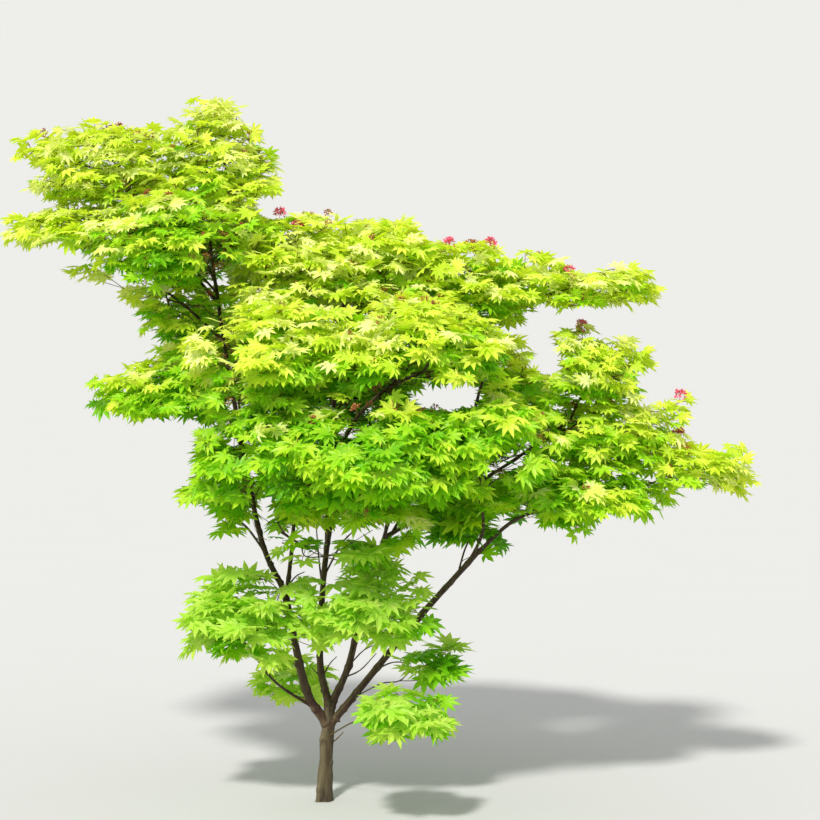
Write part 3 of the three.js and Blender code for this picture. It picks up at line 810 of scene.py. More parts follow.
@dataclass(frozen=True)
class BarkFinish:
    """Bark: skin in two colours, pale streaks and dark cracks along the wood, and a painted lit side, lighter
    and greyer where the bark faces the light.
    """

    name: str
    skin: Colour
    blush: Colour
    streak: Colour
    crack: Colour
    # the colour of the painted lit side
    weathered: Colour
    grain: tuple[float, float, float]
    relief: float
    roughness: float
    blush_cloud: Cloud = Cloud(9, 2, 0.36, 0.62)
    streak_cloud: Cloud = Cloud(90, 4, 0.42, 0.7)
    crack_cloud: Cloud = Cloud(150, 5, 0.56, 0.68)
    spot_cloud: Cloud = Cloud(260, 2, 0.62, 0.72)
    streak_share: float = 0.75
    crack_share: float = 0.7
    spot_share: float = 0.35
    # how strongly the lit side is painted, how much less in the cracks, and the facing over which it comes in
    weathered_share: float = 0.9
    weathered_crack: float = 0.5
    weathered_range: tuple[float, float] = (0.3, 0.95)
    level: float = 0.5
    streak_height: float = 0.5
    crack_depth: float = 0.6
    spot_height: float = 0.25
    crack_rougher: float = 0.12
    spot_smoother: float = 0.08
    gloss: float = 0.35
    relief_strength: float = 0.8

    def material(self) -> bpy.types.Material:
        """Builds the material.

        Returns:
            The material.
        """
        graph = Graph(self.name)
        at = graph.place(self.grain)
        blush = graph.cloud(graph.place(), self.blush_cloud)
        streaks = graph.cloud(at, self.streak_cloud)
        cracks = graph.cloud(at, self.crack_cloud)
        spots = graph.cloud(graph.place(), self.spot_cloud)
        colour = graph.mix(blush, self.skin, self.blush)
        colour = graph.mix(streaks * self.streak_share, colour, self.streak)
        colour = graph.mix(cracks * self.crack_share, colour, self.crack)
        colour = graph.mix(spots * self.spot_share, colour, self.streak)
        # Painted light: bark that faces the light is mixed towards a lighter, greyer colour, less so in the
        # cracks
        facing = graph.ramp(graph.facing(PAINTED_LIT_SIDE), *self.weathered_range)
        painted_light = facing * (self.weathered_share - cracks * self.weathered_crack)
        colour = graph.mix(painted_light, colour, self.weathered)
        height = streaks * self.streak_height - cracks * self.crack_depth
        height = height + spots * self.spot_height + self.level
        roughness = self.roughness + cracks * self.crack_rougher - spots * self.spot_smoother
        normal = graph.bump(height, self.relief, self.relief_strength)
        return graph.finish(graph.surface(colour, roughness, self.gloss, Normal=normal))


@dataclass(frozen=True)
class LeafFinish:
    """A thin leaf that light shines through, with a colour that shifts from leaf to leaf."""

    name: str
    tint: Colour
    shift: Colour
    glow: Colour
    through: float = 0.45
    shift_cloud: Cloud = Cloud(21, 1, 0.4, 0.6)
    mottle_cloud: Cloud = Cloud(160, 3, 0.38, 0.66)
    mottle_share: float = 0.22
    mottle_tone: float = 0.62
    roughness: float = 0.34
    mottle_rougher: float = 0.2
    gloss: float = 0.4
    relief: float = 0.0008
    relief_strength: float = 0.5

    def material(self) -> bpy.types.Material:
        """Builds the material.

        Returns:
            The material.
        """
        graph = Graph(self.name)
        shift = graph.cloud(graph.place(), self.shift_cloud)
        mottle = graph.cloud(graph.place(), self.mottle_cloud)
        colour = graph.mix(shift, self.tint, self.shift)
        colour = graph.mix(mottle * self.mottle_share, colour, toned(self.tint, self.mottle_tone))
        roughness = self.roughness + mottle * self.mottle_rougher
        normal = graph.bump(mottle, self.relief, self.relief_strength)
        surface = graph.surface(colour, roughness, self.gloss, Normal=normal)
        glow = graph.node("ShaderNodeBsdfTranslucent", {}, {"Color": self.glow})
        return graph.finish(graph.node("ShaderNodeMixShader", {}, {0: self.through, 1: surface, 2: glow}))


@dataclass(frozen=True)
class StalkFinish:
    """Leaf stalks and blossom: two colours in soft patches."""

    name: str
    first: Colour
    second: Colour
    patch_cloud: Cloud
    roughness: float
    fine_cloud: Cloud = Cloud(420, 2, 0.4, 0.7)
    fine_share: float = 0.3
    fine_tone: float = 0.6
    fine_rougher: float = 0.15
    gloss: float = 0.3
    relief: float = 0.0004
    relief_strength: float = 0.6

    def material(self) -> bpy.types.Material:
        """Builds the material.

        Returns:
            The material.
        """
        graph = Graph(self.name)
        patches = graph.cloud(graph.place(), self.patch_cloud)
        fine = graph.cloud(graph.place(), self.fine_cloud)
        colour = graph.mix(patches, self.first, self.second)
        colour = graph.mix(fine * self.fine_share, colour, toned(self.first, self.fine_tone))
        roughness = self.roughness + fine * self.fine_rougher
        normal = graph.bump(fine, self.relief, self.relief_strength)
        return graph.finish(graph.surface(colour, roughness, self.gloss, Normal=normal))


@dataclass(frozen=True)
class FloorFinish:
    """A pale matt studio floor."""

    name: str = "floor_paper"
    tone: Colour = (0.488, 0.494, 0.503)
    cloud: Cloud = Cloud(3, 3, 0.3, 0.7)
    cloud_share: float = 0.3
    cloud_tone: float = 0.96
    roughness: float = 0.9
    gloss: float = 0.1

    def material(self) -> bpy.types.Material:
        """Builds the material.

        Returns:
            The material.
        """
        graph = Graph(self.name)
        cloud = graph.cloud(graph.place(), self.cloud)
        colour = graph.mix(cloud * self.cloud_share, self.tone, toned(self.tone, self.cloud_tone))
        return graph.finish(graph.surface(colour, self.roughness, self.gloss))


OLD_BARK = BarkFinish(
    name="old_bark",
    skin=(0.054, 0.038, 0.015),
    blush=(0.030, 0.017, 0.009),
    streak=(0.100, 0.084, 0.044),
    crack=(0.010, 0.007, 0.005),
    # the colour of the painted lit side
    weathered=(0.142, 0.116, 0.064),
    grain=(1.0, 1.0, 0.16),
    relief=0.0018,
    roughness=0.74,
)
YOUNG_BARK = BarkFinish(
    name="young_bark",
    skin=(0.044, 0.022, 0.010),
    blush=(0.034, 0.011, 0.007),
    streak=(0.090, 0.068, 0.030),
    crack=(0.010, 0.005, 0.004),
    # the colour of the painted lit side
    weathered=(0.145, 0.104, 0.050),
    grain=(1.0, 1.0, 0.2),
    relief=0.0009,
    roughness=0.64,
)
TWIG_BARK = BarkFinish(
    name="twig_bark",
    skin=(0.080, 0.026, 0.012),
    blush=(0.070, 0.060, 0.016),
    streak=(0.120, 0.080, 0.030),
    crack=(0.025, 0.008, 0.005),
    # the colour of the painted lit side
    weathered=(0.120, 0.100, 0.035),
    grain=(1.0, 1.0, 0.5),
    relief=0.0002,
    roughness=0.55,
)
STALKS = StalkFinish(
    name="leaf_stalks",
    first=(0.300, 0.075, 0.030),
    second=(0.360, 0.330, 0.060),
    patch_cloud=Cloud(14, 2, 0.38, 0.62),
    roughness=0.5,
)
BLOSSOM_RED = StalkFinish(
    name="blossom_red",
    first=(0.700, 0.060, 0.140),
    second=(0.800, 0.220, 0.300),
    patch_cloud=Cloud(60, 2, 0.38, 0.62),
    roughness=0.45,
)
BLOSSOM_RUST = StalkFinish(
    name="blossom_rust",
    first=(0.320, 0.060, 0.030),
    second=(0.360, 0.200, 0.050),
    patch_cloud=Cloud(50, 2, 0.38, 0.62),
    roughness=0.5,
)


class Tint(Enum):
    """A spray's leaf colour, graded as painted light and shade: yellower and lighter for sprays that light
    would reach, darker green for those in the shade within.
    """

    GOLD = LeafFinish("leaf_gold", (0.820, 0.890, 0.110), (0.560, 0.790, 0.036), (0.800, 0.950, 0.030))
    LIME = LeafFinish("leaf_lime", (0.640, 0.830, 0.050), (0.330, 0.680, 0.014), (0.580, 0.900, 0.012))
    FRESH = LeafFinish("leaf_fresh", (0.320, 0.660, 0.012), (0.540, 0.780, 0.036), (0.400, 0.830, 0.008))
    GREEN = LeafFinish("leaf_green", (0.200, 0.540, 0.008), (0.360, 0.680, 0.018), (0.270, 0.730, 0.006))
    # DEEP is painted shade, for the leaves deepest in the crown's shade
    DEEP = LeafFinish("leaf_deep", (0.100, 0.360, 0.004), (0.200, 0.520, 0.008), (0.150, 0.520, 0.004))
    # SOFT is painted light: low leaves in the crown's shadow, painted lighter and paler as if light reached
    # them
    SOFT = LeafFinish("leaf_soft", (0.660, 0.820, 0.150), (0.440, 0.730, 0.070), (0.640, 0.920, 0.080), 0.55)
    # PALE is a painted highlight: near-white yellow leaves that stand in for the sun's sheen on the brightest
    # leaves
    PALE = LeafFinish("leaf_pale", (0.910, 0.930, 0.440), (0.820, 0.900, 0.180), (0.860, 0.960, 0.180))


# Wood


@dataclass
class LimbBuilder:
    """Builds the trunk, stems and boughs, each one a tapering limb with its own bark.

    Gaps, heights and lengths are in metres. Swells, reliefs and widths are shares of the limb's radius.
    A pair for scars holds the least of a size and how much a row of numbers adds to it.
    """

    root_flare: float = 1.24
    flare_height: float = 0.3
    root_ridges: tuple[tuple[int, float, float], ...] = ((5, 0.09, 0.7), (3, 0.05, 0.0))
    ridge_height: float = 0.03
    ring_gap: float = 0.0065
    fewest_rings: int = 12
    trunk_sides: int = 30
    thick_sides: int = 18
    thin_sides: int = 12
    thick_from: float = 0.015
    trunk_relief: float = 0.075
    bough_relief: float = 0.05
    name_step: float = 0.37
    groove_scale: float = 150
    groove_stretch: float = 5.5
    lump_scale: float = 28
    lump_scale_along: float = 22
    lump_share: float = 2.0
    knot_gap: float = 0.072
    knot_start: float = 0.4
    knot_swell: float = 0.16
    knot_length: float = 0.006
    scar_gap: float = 0.038
    scar_shift: float = 0.7
    scar_height: float = 0.42
    scar_heights: tuple[float, float] = (0.35, 0.65)
    scar_length: float = 0.0065
    scar_lengths: tuple[float, float] = (0.7, 0.6)
    scar_width: float = 0.5
    collar_swell: float = 0.32
    collar_length: float = 0.018
    tip_rings: tuple[tuple[float, float], ...] = ((0.5, 0.75), (0.8, 0.15))
    routes: dict[str, Route] = field(default_factory=dict)

    def __post_init__(self) -> None:
        """Draws every limb's route, from the middle of the limb that carries it."""
        for limb in LIMBS:
            bends = [np.array(bend) for bend in limb.bends]
            if limb.on:
                bends.insert(0, self.routes[limb.on].at(limb.at))
            self.routes[limb.name] = Route([*bends, np.array(limb.tip)])

    def radius(self, limb: Limb, shares: np.ndarray) -> np.ndarray:
        """How thick a limb is along its way, with the flare at the trunk's foot.

        Args:
            limb: the limb.
            shares: how far along, from 0 to 1.

        Returns:
            The radii.
        """
        plain = (limb.width[0] + (limb.width[1] - limb.width[0]) * shares) / 2
        if limb.on:
            return plain
        flare = np.maximum(0, 1 - shares / self.flare_height) ** 2
        return plain * (1 + (self.root_flare - 1) * flare)

    def relief(self, limb: Limb, turn: np.ndarray, along: np.ndarray, radius: np.ndarray) -> np.ndarray:
        """The bark's lumps and grooves, as shares of the radius.

        Args:
            limb: the limb.
            turn: the bearing of each corner round the limb.
            along: how far each ring is from the foot, in metres.
            radius: the radius of each ring.

        Returns:
            A factor for each ring and corner.
        """
        depth = self.bough_relief if limb.on else self.trunk_relief
        start = sum(ord(letter) for letter in limb.name) * self.name_step
        scale, wide = self.groove_scale, self.lump_scale
        lumps = np.empty((len(along), len(turn)))
        for row, (far, thick) in enumerate(zip(along, radius)):
            for column, bearing in enumerate(turn):
                x = math.cos(bearing) * thick
                y = math.sin(bearing) * thick
                groove = Vector((x * scale + start, y * scale, far * scale / self.groove_stretch))
                lump = Vector((x * wide, y * wide + start, far * self.lump_scale_along))
                fine = noise.noise(groove) * depth
                lumps[row, column] = fine + noise.noise(lump) * depth * self.lump_share
        return 1 + lumps + self.scars(turn, along, start)

    def scars(self, turn: np.ndarray, along: np.ndarray, start: float) -> np.ndarray:
        """Round stubs where side shoots have come off, spread along a limb and round it.

        Args:
            turn: the bearing of each corner round the limb.
            along: how far each ring is from the foot, in metres.
            start: a number that makes each limb's row of scars its own.

        Returns:
            What they add for each ring and corner, as shares of the radius.
        """
        raised = np.zeros((len(along), len(turn)))
        for number in range(1, round(along[-1] / self.scar_gap)):
            first, second, third = ((start + share * number) % 1 for share in SERIES)
            far = (number + self.scar_shift * (first - 0.5)) * self.scar_gap
            aside = (turn - second * 2 * math.pi + math.pi) % (2 * math.pi) - math.pi
            length = self.scar_length * (self.scar_lengths[0] + self.scar_lengths[1] * third)
            height = self.scar_height * (self.scar_heights[0] + self.scar_heights[1] * third)
            round_limb = np.exp(-((aside / self.scar_width) ** 2))
            down_limb = np.exp(-(((along - far) / length) ** 2))
            raised += height * down_limb[:, None] * round_limb
        return raised

    def swells(self, limb: Limb, along: np.ndarray) -> np.ndarray:
        """How much thicker a stem or bough is at its collar and its knots.

        Args:
            limb: the limb.
            along: how far each ring is from the foot, in metres.

        Returns:
            A factor for each ring.
        """
        swell = np.ones(len(along))
        if not limb.on:
            return swell
        parent = next(other for other in LIMBS if other.name == limb.on)
        foot = float(self.radius(parent, np.array(limb.at)))
        swell += self.collar_swell * np.exp(-np.maximum(along - foot, 0) / self.collar_length)
        knots = (along + self.knot_gap * self.knot_start) % self.knot_gap - self.knot_gap / 2
        swell += self.knot_swell * np.exp(-((knots / self.knot_length) ** 2))
        return swell

    def sides(self, limb: Limb) -> int:
        """How many corners a ring of a limb has.

        Args:
            limb: the limb.

        Returns:
            The number.
        """
        if not limb.on:
            return self.trunk_sides
        return self.thick_sides if limb.width[0] > self.thick_from else self.thin_sides

    def rooted(self, factor: np.ndarray, turn: np.ndarray, heights: np.ndarray) -> np.ndarray:
        """Adds the ridges of the roots to the trunk's foot.

        Args:
            factor: the relief of each ring and corner.
            turn: the bearing of each corner.
            heights: how high each ring is.

        Returns:
            The relief with the ridges.
        """
        roots = np.exp(-np.maximum(heights, 0) / self.ridge_height)[:, None]
        for count, depth, start in self.root_ridges:
            factor = factor + roots * depth * np.cos(count * turn + start)
        return factor

    def build(self, limb: Limb) -> bpy.types.Object:
        """Builds one limb.

        Args:
            limb: the limb.

        Returns:
            The piece, in its node's place.
        """
        route = self.routes[limb.name]
        length = route.length()
        rings = max(self.fewest_rings, round(length / self.ring_gap))
        sides = self.sides(limb)
        shares = np.linspace(0, 1, rings)
        centres = route.at(shares)
        along = shares * length
        radius = self.radius(limb, shares)
        turn = np.arange(sides) * 2 * math.pi / sides
        factor = self.relief(limb, turn, along, radius) * self.swells(limb, along)[:, None]
        if not limb.on:
            factor = self.rooted(factor, turn, centres[:, 2])
        tip = unit(centres[-1] - centres[-2]) * radius[-1]
        centres = np.vstack((centres, *(centres[-1] + tip * far for far, _ in self.tip_rings)))
        radius = np.append(radius, [radius[-1] * thick for _, thick in self.tip_rings])
        factor = np.vstack((factor, *(factor[-1:] for _ in self.tip_rings)))
        corners, faces = tubes(centres[None], (radius[:, None] * factor)[None], sides)
        if not limb.on:
            corners[:, 2] = np.maximum(corners[:, 2], 0)
        shell = Shell()
        shell.add(corners, faces)
        finish = YOUNG_BARK if limb.on else OLD_BARK
        material = bpy.data.materials.get(finish.name) or finish.material()
        return seat(shell.build(limb.name + "_bark", material, True), [limb.name])


# Twigs


STEM_SHARES = (0, 0.25, 0.5, 0.75, 1)  # where a mass's stem has its joints


@dataclass
class Twigs:
    """A mass's twigs: where each joint is, what it grows from, how many shoots it feeds, and its way on."""

    at: np.ndarray
    parent: np.ndarray
    tips: np.ndarray
    main: np.ndarray

    def thickness(self, thinnest: float, growth: float) -> np.ndarray:
        """The radius at each joint.

        Args:
            thinnest: the radius of a shoot's end.
            growth: how fast the radius grows with the shoots that are fed.

        Returns:
            The radii.
        """
        return thinnest * np.maximum(self.tips, 1) ** growth


@dataclass
class MassGrower:
    """Grows the twigs of one mass in its own space by the source's rule, with many more shoots.

    Gaps and margins are in metres, and weights multiply the cost of a way.
    A wave is its lobes round the mass, its turn from tier to tier and from mass to mass, and its share.
    """

    mass: Mass
    index: int
    root: np.ndarray
    seed_step: int = 7919
    seed_start: int = 17
    spacing: float = 0.0415
    fineness_power: float = 0.8
    nearest: float = 0.0225
    bridge: float = 1.2
    tier_gap: float = 0.047
    tier_dome: float = 0.08
    tier_slope: float = 0.16
    tier_jitter: float = 0.018
    raggedness: float = 0.34
    rim: float = 1.05
    rim_level: float = 0.5
    rim_waves: tuple[tuple[int, float, float, float], ...] = ((2, 2.4, 1.0, 0.3), (5, 4.1, 1.7, 0.2))
    least_ragged: float = 0.3
    crown_middle: tuple[float, float] = (0.1, 0.03)
    leaf_room: tuple[float, float, float] = (0.037, 0.037, 0.015)
    margin: float = 0.004
    cell_margin: float = 0.0006
    parting_lean: tuple[float, float, float] = (1, 1, 2)
    path_weight: float = 0.35
    climb_weight: float = 1.7
    turn_weight: float = 0.3
    open_weight: float = 3.0
    stem_end: float = 0.25
    stem_sink: float = 0.25
    stem_arch: float = 0.1
    innermost: float = 0.02
    tip_room: float = 0.05
    low_spacing: float = 1.36
    low_raggedness: float = 1.5
    low_below: float = 0.72

    def __post_init__(self) -> None:
        """Sets the mass's space and where its row of places starts."""
        self.middle = np.array(self.mass.middle)
        self.reach = np.array(self.mass.reach)
        self.random = Seeded(self.index * self.seed_step + self.seed_start)
        self.start = [self.random() for _ in range(3)]
        self.normals, self.limits = self.partings()
        self.tips = np.array(TIPS.get(self.mass.name, ())).reshape(-1, 3)
        own = self.mass.part
        kin = [other for other in MASSES if own and other.part is own and other is not self.mass]
        self.kin_middles = np.array([other.middle for other in kin]).reshape(-1, 3)
        self.kin_reaches = np.array([other.reach for other in kin]).reshape(-1, 3)

    def partings(self) -> tuple[np.ndarray, np.ndarray]:
        """The planes that part this mass's space from its neighbours' spaces.

        Returns:
            The planes' normals, and how far along each normal the space reaches.
        """
        normals = []
        limits = []
        for other in MASSES:
            if other is self.mass:
                continue
            away = np.array(other.middle) - self.middle
            towards = unit(away)
            mine = 1 / np.linalg.norm(towards / self.reach)
            theirs = 1 / np.linalg.norm(towards / np.array(other.reach))
            normal = unit(away * self.parting_lean)
            normals.append(normal)
            limits.append(normal @ (self.middle + away * mine / (mine + theirs)) - self.cell_margin)
        return np.array(normals), np.array(limits)

    def holds(self, points: np.ndarray, margin: float) -> np.ndarray:
        """Whether points are in the mass's own space.

        Args:
            points: the points.
            margin: how far inside they have to be.

        Returns:
            True or False for each point.
        """
        share = np.linalg.norm((points - self.middle) / self.reach, axis=-1)
        is_near = share <= self.furthest(points) - margin / self.reach.min()
        is_held = is_near & (points @ self.normals.T < self.limits - margin).all(-1)
        if len(self.tips):
            ways = points[:, None] - self.tips
            is_held |= np.linalg.norm(ways, axis=-1).min(1) < self.tip_room
        return is_held & ~is_open(points)

    def furthest(self, points: np.ndarray) -> np.ndarray:
        """How far the space goes, as a share of the reach: further where it runs into its own part's masses.

        Args:
            points: the points.

        Returns:
            The share that each point may be out at.
        """
        if not len(self.kin_middles):
            return np.ones(len(points))
        ways = (points[:, None] - self.kin_middles) / self.kin_reaches
        nearest = np.linalg.norm(ways, axis=-1).min(1)
        return np.where(nearest < self.bridge, self.bridge, 1.0)

    def spread(self, furthest: float) -> np.ndarray:
        """Points spread evenly through a ball, as many as the mass has room for.

        Args:
            furthest: how far the mass's space goes, as a share of its reach.

        Returns:
            The points, which are up to 1 from the middle.
        """
        spacing = self.spacing * (self.low_spacing if self.middle[2] < self.low_below else 1.0)
        spacing *= FINENESS.get(self.mass.part, 1.0) ** self.fineness_power
        volume = 4 / 3 * math.pi * float(np.prod(self.reach)) * furthest**3
        count = round(volume / spacing**3)
        order = np.arange(1, count + 1)[:, None]
        u, v, w = ((np.array(self.start) + np.array(SERIES) * order) % 1).T
        height = 1 - 2 * u
        level = np.sqrt(1 - height**2)
        depth = np.cbrt(self.innermost + (1 - self.innermost) * w)
        ways = np.stack((level * np.cos(2 * np.pi * v), level * np.sin(2 * np.pi * v), height), -1)
        return ways * depth[:, None]

    def gather(self, points: np.ndarray, flat: np.ndarray) -> np.ndarray:
        """Moves points up or down into tiers.

        Args:
            points: the points, which it moves.
            flat: how far out each is on the level, as shares of the reach.

        Returns:
            The number of each point's tier.
        """
        outwards = np.linalg.norm(points[:, :2] - self.crown_middle, axis=1)
        dome = self.tier_dome * self.reach[2] * (flat**2).sum(-1) + self.tier_slope * outwards
        phase = self.start[0] * self.tier_gap
        tier = np.round((points[:, 2] + dome - phase) / self.tier_gap)
        jitter = np.array([self.random() - 0.5 for _ in points]) * 2 * self.tier_jitter
        points[:, 2] = tier * self.tier_gap + phase - dome + jitter
        return tier

    def edge(self, flat: np.ndarray, tier: np.ndarray) -> np.ndarray:
        """How far out the mass goes, with a rim that waves most on the crown's outside.

        Args:
            flat: how far out each point is on the level, as shares of the reach.
            tier: the number of each point's tier.

        Returns:
            The share that each point may be out at.
        """
        bearing = np.arctan2(flat[:, 1], flat[:, 0])
        away = self.middle[:2] - self.crown_middle
        turned = np.cos(bearing - math.atan2(away[1], away[0]))
        outward = np.clip(self.least_ragged + (1 - self.least_ragged) * turned, 0, 1)
        ragged = self.raggedness * (self.low_raggedness if self.middle[2] < self.low_below else 1.0)
        wave = self.rim_level
        for lobes, tier_turn, mass_turn, share in self.rim_waves:
            wave = wave + share * np.sin(lobes * bearing + tier * tier_turn + self.index * mass_turn)
        return self.rim - ragged * outward * wave

    def places(self) -> np.ndarray:
        """Places for shoots, spread evenly through the mass and gathered into flat, drooping tiers.

        Returns:
            The places, and the mass's own shoots at the rim.
        """
        furthest = self.bridge if self.mass.part else 1.0
        points = self.middle + self.spread(furthest) * (self.reach * furthest - self.leaf_room)
        flat = (points - self.middle)[:, :2] / self.reach[:2]
        tier = self.gather(points, flat)
        share = np.linalg.norm((points - self.middle) / (self.reach - self.leaf_room), axis=1)
        is_inside = share < self.edge(flat, tier) * self.furthest(points)
        points = points[self.holds(points, self.margin) & is_inside]
        kept = [points[0]]
        for point in points[1:]:
            if np.linalg.norm(np.array(kept) - point, axis=1).min() > self.nearest:
                kept.append(point)
        return np.vstack((kept, self.tips))

    def stem(self) -> np.ndarray:
        """The points of the one stem that joins the mass to its limb.

        Returns:
            The points, from the limb to the mass's heart.
        """
        heart = self.middle + (self.root - self.middle) * self.stem_end
        heart = heart - UP * self.stem_sink * self.reach[2]
        bend = (self.root + heart) / 2 + UP * self.stem_arch * np.linalg.norm(self.root - heart)
        return Route([self.root, bend, heart]).at(np.array(STEM_SHARES))

    def grow(self) -> Twigs:
        """Joins the places to the stem, always the one with the cheapest way back to the limb next.

        Returns:
            The mass's twigs.
        """
        stem = self.stem()
        places = self.places()
        at = [stem[0]]
        parent = [-1]
        path = [0.0]
        cost = np.full(len(places), np.inf)
        origin = np.zeros(len(places), int)

        def add(point: np.ndarray, source: int) -> None:
            """Adds a joint and sets what it would cost to join each waiting place to it.

            Args:
                point: the joint.
                source: the joint that it grows from.
            """
            at.append(point)
            parent.append(source)
            path.append(path[source] + float(np.linalg.norm(point - at[source])))
            ways = places - point
            far = np.linalg.norm(ways * (1, 1, self.climb_weight), axis=1)
            ahead = unit(ways) @ unit(point - at[source])
            price = far * (1 + self.turn_weight * (1 - ahead)) + self.path_weight * path[-1]
            price *= np.where(is_open(point + ways / 2), self.open_weight, 1)
            is_better = price < cost
            cost[is_better] = price[is_better]
            origin[is_better] = len(at) - 1

        for index, point in enumerate(stem[1:]):
            add(point, index)
        waits = np.ones(len(places), bool)
        while waits.any():
            best = int(np.argmin(np.where(waits, cost, np.inf)))
            waits[best] = False
            add(places[best], int(origin[best]))
        return self.counted(np.array(at), np.array(parent))

    @staticmethod
    def counted(at: np.ndarray, parent: np.ndarray) -> Twigs:
        """Counts the shoots that each joint feeds.

        Args:
            at: the joints.
            parent: what each grows from.

        Returns:
            The twigs, with the fullest way on from each joint.
        """
        tips = np.zeros(len(at), int)
        main = np.full(len(at), -1)
        tips[np.setdiff1d(np.arange(len(at)), parent)] = 1
        for index in range(len(at) - 1, 0, -1):
            source = parent[index]
            tips[source] += tips[index]
            if main[source] < 0 or tips[index] > tips[main[source]]:
                main[source] = index
        return Twigs(at, parent, tips, main)


# Leaves


@dataclass(frozen=True)
class LeafShape:
    """One outline of leaf, with its lobes as bearings from the tip and lengths, from right to left.

    Bearings are in degrees, and lengths are shares of the middle lobe's.
    """

    lobes: tuple[tuple[float, float], ...]
    notch: float = 0.49
    shoulder: float = 0.64
    breadth: float = 0.150
    crease: float = 0.045
    heel_turn: float = 26
    heel_length: float = 0.34

    @staticmethod
    def corner(bearing: float, far: float, height: float) -> tuple[float, float, float]:
        """A corner of the leaf.

        Args:
            bearing: degrees from the middle lobe.
            far: how far it is from the palm.
            height: how high it is above the palm.

        Returns:
            The corner.
        """
        angle = math.radians(bearing)
        return far * math.cos(angle), far * math.sin(angle), height

    def outline(self) -> tuple[np.ndarray, np.ndarray]:
        """The leaf's corners and triangles, with the palm at the origin and the middle lobe along +X.

        Returns:
            The corners, 1 from the palm to the tip, and the triangles.
        """
        first, last = self.lobes[0], self.lobes[-1]
        spread = math.degrees(math.atan2(self.breadth, self.shoulder))
        heel = self.corner(first[0] - self.heel_turn, first[1] * self.heel_length, self.crease)
        corners = [(0.0, 0.0, 0.0), heel]
        faces = []
        for index, (bearing, length) in enumerate(self.lobes):
            start = len(corners)
            corners.append(self.corner(bearing - spread, length * self.shoulder, self.crease))
            corners.append(self.corner(bearing, length, 0))
            corners.append(self.corner(bearing + spread, length * self.shoulder, self.crease))
            if index + 1 < len(self.lobes):
                onward, far = self.lobes[index + 1]
                between, short = (bearing + onward) / 2, self.notch * min(length, far)
            else:
                between, short = last[0] + self.heel_turn, last[1] * self.heel_length
            corners.append(self.corner(between, short, self.crease))
            before, right, tip, left, after = range(start - 1, start + 4)
            faces += [(0, before, right), (0, right, tip), (0, tip, left), (0, left, after)]
        return np.array(corners), np.array(faces)


LEAF_SHAPES = (
    LeafShape(((-124, 0.52), (-82, 0.76), (-40, 0.94), (0, 1.0), (40, 0.94), (82, 0.76), (124, 0.52))),
    LeafShape(((-116, 0.6), (-76, 0.82), (-37, 0.9), (0, 1.0), (38, 0.96), (79, 0.78), (120, 0.5)), 0.46),
    LeafShape(
        (
            (-142, 0.4),
            (-106, 0.66),
            (-70, 0.84),
            (-35, 0.95),
            (0, 1.0),
            (35, 0.95),
            (70, 0.84),
            (106, 0.66),
            (142, 0.4),
        ),
        notch=0.54,
        shoulder=0.66,
        breadth=0.125,
    ),
)


@dataclass(frozen=True)
class LeafPair:
    """Two opposite leaves: degrees from the twig and how they vary, size, and metres back along the twig."""

    bearing: float
    spread: float
    size: float
    back: float
    is_at_end: bool


LEAF_PAIRS = (
    LeafPair(62, 16, 0.92, 0.0, False),
    LeafPair(24, 12, 0.78, -0.004, True),
    LeafPair(96, 16, 1.0, 0.014, True),
)


@dataclass(frozen=True)
class LeafHabit:
    """How leaves stand and how large they are.

    Sizes, stalks and heights are in metres, turns are in degrees, and a range is the least and the most.
    A pull is how much a leaf turns away from the middle of its mass or of the crown.
    """

    size: float = 0.0405
    size_range: tuple[float, float] = (0.74, 1.2)
    size_heights: tuple[float, ...] = (0.5, 0.8, 1.1)
    size_shares: tuple[float, ...] = (1.42, 1.26, 1.02)
    stalk: float = 0.026
    stalk_range: tuple[float, float] = (0.7, 1.25)
    mass_pull: float = 0.55
    crown_pull: float = 0.75
    swing: float = 0.3
    rise: float = 14
    rise_spread: float = 12
    inner_tilt: float = 5
    outer_tilt: float = 42
    under_level: float = 0.5
    under_slope: float = 0.6
    over_tilt: float = 0.3
    tilt_heights: tuple[float, float] = (1.0, 1.3)
    tilt_shares: tuple[float, float] = (1.0, 0.55)
    unevenness: float = 0.37
    droop: float = 0.1
    droop_spread: float = 0.09


@dataclass
class Leaves:
    """Leaves that are all placed before any is built: stalk roots, palms, axes, sizes and bends."""

    foot: np.ndarray
    palm: np.ndarray
    ahead: np.ndarray
    normal: np.ndarray
    size: np.ndarray
    droop: np.ndarray
    spray: np.ndarray
    mass: np.ndarray

    @classmethod
    def joined(cls, parts: list["Leaves"]) -> "Leaves":
        """The leaves of several lots together."""
        names = cls.__dataclass_fields__
        return cls(*(np.concatenate([getattr(part, name) for part in parts]) for name in names))

    def only(self, keep: np.ndarray) -> "Leaves":
        """The leaves for which a test holds."""
        return Leaves(*(getattr(self, name)[keep] for name in self.__dataclass_fields__))


def levelled(bearings: np.ndarray) -> np.ndarray:
    """Level directions at some bearings."""
    return np.stack((np.cos(bearings), np.sin(bearings), np.zeros(len(bearings))), -1)


